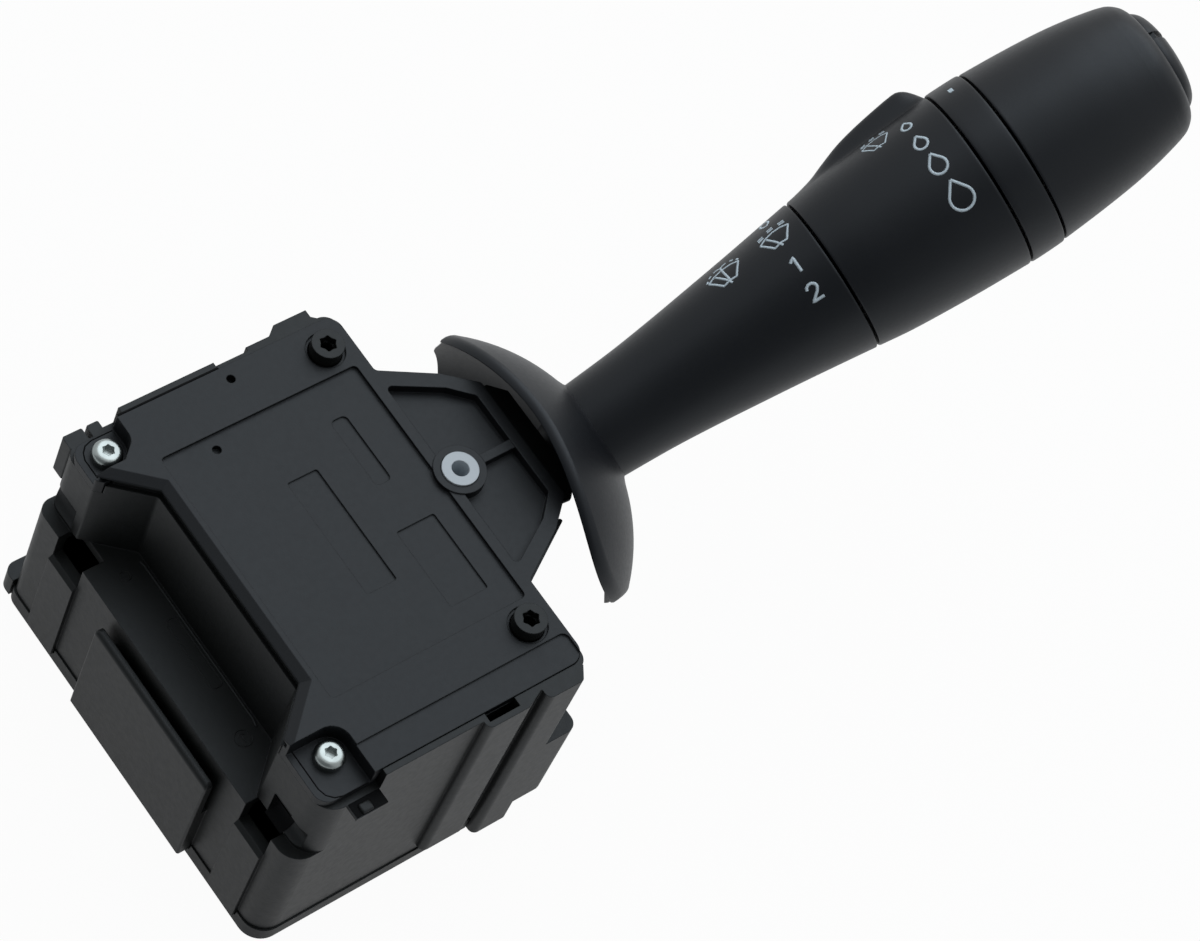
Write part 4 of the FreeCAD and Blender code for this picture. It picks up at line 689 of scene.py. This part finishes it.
def channel_lines():
    """The bead and the moulded marks on the floor of the guide channel."""
    clock = ring_run(-47.5, -15.9, 1.45)
    pointer = [(-47.5, -16.9), (-47.5, -14.9)]
    head = [(-48.0, -15.4), (-47.5, -14.9), (-47.0, -15.4)]
    for name, strokes, width, lift in (
            ("channel_bead", [[(-44.5, 17.6), (-44.3, 16.6), (-44.3, -14.0), (-44.6, -15.2)]], 0.5, 0.22),
            ("channel_panel_line", [rounded_run(-47.0, -6.7, -44.9, 6.8, 0.8)], 0.22, 0.08),
            ("channel_date_mark", [clock, pointer, head], 0.2, 0.08),
            ("channel_round_mark", [ring_run(-48.0, 16.5, 0.9)], 0.2, 0.08)):
        raised_line(name, strokes, width, lift, CHANNEL_LEVEL, HOUSING)


def neck_hood():
    """The hood over the mouth of the housing, under the guard."""
    plan = [(12.2, -11.6), (14.6, -11.8), (17.2, -9.2), (17.2, 9.2), (14.6, 11.8), (12.2, 11.6)]
    block("neck_hood", plan, -3.4, -2.3, HOUSING)


def tab_seam_shadows():
    """Painted shadow lines: near-black strips laid in the fine gaps beside the cover's two screw tabs and along the
    rail, where shade falls.
    """
    low = [(-50.0, -25.6), (-50.0, -33.6), (-49.6, -35.0), (-48.6, -36.0), (-47.2, -36.4), (-42.6, -36.4)]
    high = [(-50.0, 26.4), (-50.0, 30.2), (-49.5, 31.4), (-48.6, 32.3), (-47.2, 32.7), (-43.3, 32.7)]
    rail = [(-42.8, 33.1), (-23.9, 33.1)]
    for name, run, width, level in (("tab_seam_shadow_low", low, 0.24, TAB_SEAM_LEVEL),
                                    ("tab_seam_shadow_high", high, 0.24, TAB_SEAM_LEVEL),
                                    ("rail_seam_shadow", rail, 0.42, COVER_LEVEL)):
        # Painted shade: each strip is near-black for the shadow in its gap
        raised_line(name, [run], width, PAINT_LIFT, level, PAINTED_SHADE)


def tab_clip():
    """The clip beside the low screw tab: a near-black bed of painted shade where its recess lies in shadow, and its
    rounded nose.
    """
    bed = [(-46.9, -37.5), (-41.0, -37.5), (-41.0, -40.1), (-46.9, -40.1)]
    nose = [(-45.7, -38.3), (-43.6, -38.3), (-43.6, -40.0), (-45.7, -40.0)]
    # Painted shade: the bed is near-black for the shadow in the recess round the clip
    block("tab_clip_shade_bed", bed, -5.5, -4.95, PAINTED_SHADE, edge=0.1)
    block("tab_clip_nose", nose, -5.2, -4.45, HOUSING, edge=0.3)


def window_shade():
    """Painted shade: a near-black sheet on the scoop under the post, where the low window's mouth runs on in shadow.
    """
    bm = bmesh.new()
    edge = [bm.verts.new((0.0, y * MM, -WINDOW_R * MM)) for y in WINDOW_SIDES]
    line = bm.edges.new(edge)
    bmesh.ops.rotate(bm, verts=edge, cent=(0, 0, 0), matrix=Matrix.Rotation(WINDOW_START, 3, "Y"))
    bmesh.ops.spin(bm, geom=edge + [line], cent=(0, 0, 0), axis=(0, 1, 0), angle=WINDOW_SWEEP, steps=20)
    bmesh.ops.remove_doubles(bm, verts=bm.verts, dist=WELD)
    bmesh.ops.solidify(bm, geom=bm.faces[:], thickness=WINDOW_SHEET * MM)
    bmesh.ops.recalc_face_normals(bm, faces=bm.faces)
    bmesh.ops.translate(bm, verts=bm.verts, vec=TILT_AXIS + WINDOW_MIDDLE)
    finish_piece("window_shade", bm, "housing", PAINTED_SHADE)


# Surroundings

def floor():
    """A white floor that the camera sees evenly bright, and that glossy faces see a little darker."""
    low = SOLID_BOX[0][2]
    bm = bmesh.new()
    bmesh.ops.create_grid(bm, x_segments=1, y_segments=1, size=FLOOR_HALF)
    bmesh.ops.translate(bm, verts=bm.verts, vec=(0.05, 0.0, low - FLOOR_GAP))
    mesh = bpy.data.meshes.new("floor")
    bm.to_mesh(mesh)
    bm.free()
    piece = bpy.data.objects.new("floor", mesh)
    bpy.context.scene.collection.objects.link(piece)
    material, nodes, links, shader = fresh_material("floor_white")
    shader.inputs["Base Color"].default_value = FLOOR_WHITE
    shader.inputs["Roughness"].default_value = 0.9
    shader.inputs["Specular IOR Level"].default_value = 0.0
    glow = nodes.new("ShaderNodeEmission")
    glow.inputs["Strength"].default_value = 1.0
    path = nodes.new("ShaderNodeLightPath")
    seen = math_node(nodes, "MAXIMUM")
    through = math_node(nodes, "MAXIMUM")
    mirrored = math_node(nodes, "MULTIPLY", FLOOR_MIRRORED)
    part = math_node(nodes, "MULTIPLY", FLOOR_GLOW)
    blend = nodes.new("ShaderNodeMixShader")
    out = nodes["Material Output"]
    links.new(path.outputs["Is Camera Ray"], seen.inputs[0])
    links.new(path.outputs["Is Glossy Ray"], mirrored.inputs[0])
    links.new(mirrored.outputs[0], seen.inputs[1])
    links.new(seen.outputs[0], through.inputs[0])
    links.new(path.outputs["Is Transmission Ray"], through.inputs[1])
    links.new(through.outputs[0], part.inputs[0])
    links.new(part.outputs[0], blend.inputs["Fac"])
    links.new(shader.outputs["BSDF"], blend.inputs[1])
    links.new(glow.outputs["Emission"], blend.inputs[2])
    links.new(blend.outputs["Shader"], out.inputs["Surface"])
    mesh.materials.append(material)


def soft_boxes(nodes, links):
    """How much of a soft box lies in a direction, as the brightest of them all."""
    direction = nodes.new("ShaderNodeTexCoord")
    brightest = None
    for place, fade, full, share in SOFT_BOXES:
        toward = nodes.new("ShaderNodeVectorMath")
        toward.operation = "DOT_PRODUCT"
        toward.inputs[1].default_value = place
        box_part = nodes.new("ShaderNodeMapRange")
        box_part.interpolation_type = "SMOOTHSTEP"
        box_part.inputs["From Min"].default_value = fade
        box_part.inputs["From Max"].default_value = full
        box_part.inputs["To Max"].default_value = share
        links.new(direction.outputs["Generated"], toward.inputs[0])
        links.new(toward.outputs["Value"], box_part.inputs["Value"])
        glow = box_part.outputs["Result"]
        if brightest is not None:
            either = math_node(nodes, "MAXIMUM")
            links.new(brightest, either.inputs[0])
            links.new(glow, either.inputs[1])
            glow = either.outputs[0]
        brightest = glow
    return brightest


def studio():
    """A world that is white to the camera, shows soft boxes to glossy faces and is dim elsewhere."""
    world = bpy.data.worlds.new("studio_white")
    bpy.context.scene.world = world
    world.use_nodes = True
    nodes = world.node_tree.nodes
    links = world.node_tree.links
    nodes.clear()
    path = nodes.new("ShaderNodeLightPath")
    brightest = soft_boxes(nodes, links)
    mirrored = math_node(nodes, "MULTIPLY")
    seen = math_node(nodes, "MAXIMUM")
    through = math_node(nodes, "MAXIMUM")
    white = nodes.new("ShaderNodeBackground")
    white.inputs["Strength"].default_value = 1.0
    white.inputs["Color"].default_value = WHITE
    soft = nodes.new("ShaderNodeBackground")
    soft.inputs["Color"].default_value = SOFT_WORLD_TINT
    soft.inputs["Strength"].default_value = SOFT_WORLD
    blend = nodes.new("ShaderNodeMixShader")
    out = nodes.new("ShaderNodeOutputWorld")
    links.new(path.outputs["Is Glossy Ray"], mirrored.inputs[0])
    links.new(brightest, mirrored.inputs[1])
    links.new(path.outputs["Is Camera Ray"], seen.inputs[0])
    links.new(path.outputs["Is Transmission Ray"], seen.inputs[1])
    links.new(seen.outputs[0], through.inputs[0])
    links.new(mirrored.outputs[0], through.inputs[1])
    links.new(through.outputs[0], blend.inputs["Fac"])
    links.new(soft.outputs["Background"], blend.inputs[1])
    links.new(white.outputs["Background"], blend.inputs[2])
    links.new(blend.outputs["Shader"], out.inputs["Surface"])


def key_light():
    """A large square lamp over the lever's side."""
    light = bpy.data.lights.new("key", "AREA")
    light.shape = "RECTANGLE"
    light.size = KEY_SIDE
    light.size_y = KEY_SIDE
    light.energy = KEY_POWER
    light.color = KEY_TINT
    holder = bpy.data.objects.new("key", light)
    bpy.context.scene.collection.objects.link(holder)
    holder.location = KEY_PLACE
    ahead = Vector(KEY_TARGET) - Vector(KEY_PLACE)
    holder.rotation_euler = ahead.to_track_quat("-Z", "Y").to_euler()


def camera():
    """The camera of the photograph, found from the cover plate."""
    lens = bpy.data.cameras.new("camera")
    lens.sensor_fit = "HORIZONTAL"
    lens.sensor_width = SENSOR
    lens.lens = FOCAL_PX / PHOTO_W * SENSOR
    lens.clip_start = 0.01
    lens.clip_end = 20.0
    eye = bpy.data.objects.new("camera", lens)
    bpy.context.scene.collection.objects.link(eye)
    back = -CAMERA_AHEAD.normalized()
    right = CAMERA_RIGHT.normalized()
    up = back.cross(right)
    stand = Matrix((right, up, back)).transposed().to_4x4()
    stand.translation = TILT_AXIS + CAMERA_FROM_TILT_AXIS
    eye.matrix_world = stand
    bpy.context.scene.camera = eye


for make in (dress_solids, guard, arm_sleeve, twist_ring, index_ring, end_knob, tip_button, marks, channel_lines,
             neck_hood, tab_seam_shadows, tab_clip, window_shade, floor, studio, key_light, camera):
    make()
bpy.context.scene.view_settings.view_transform = "Standard"
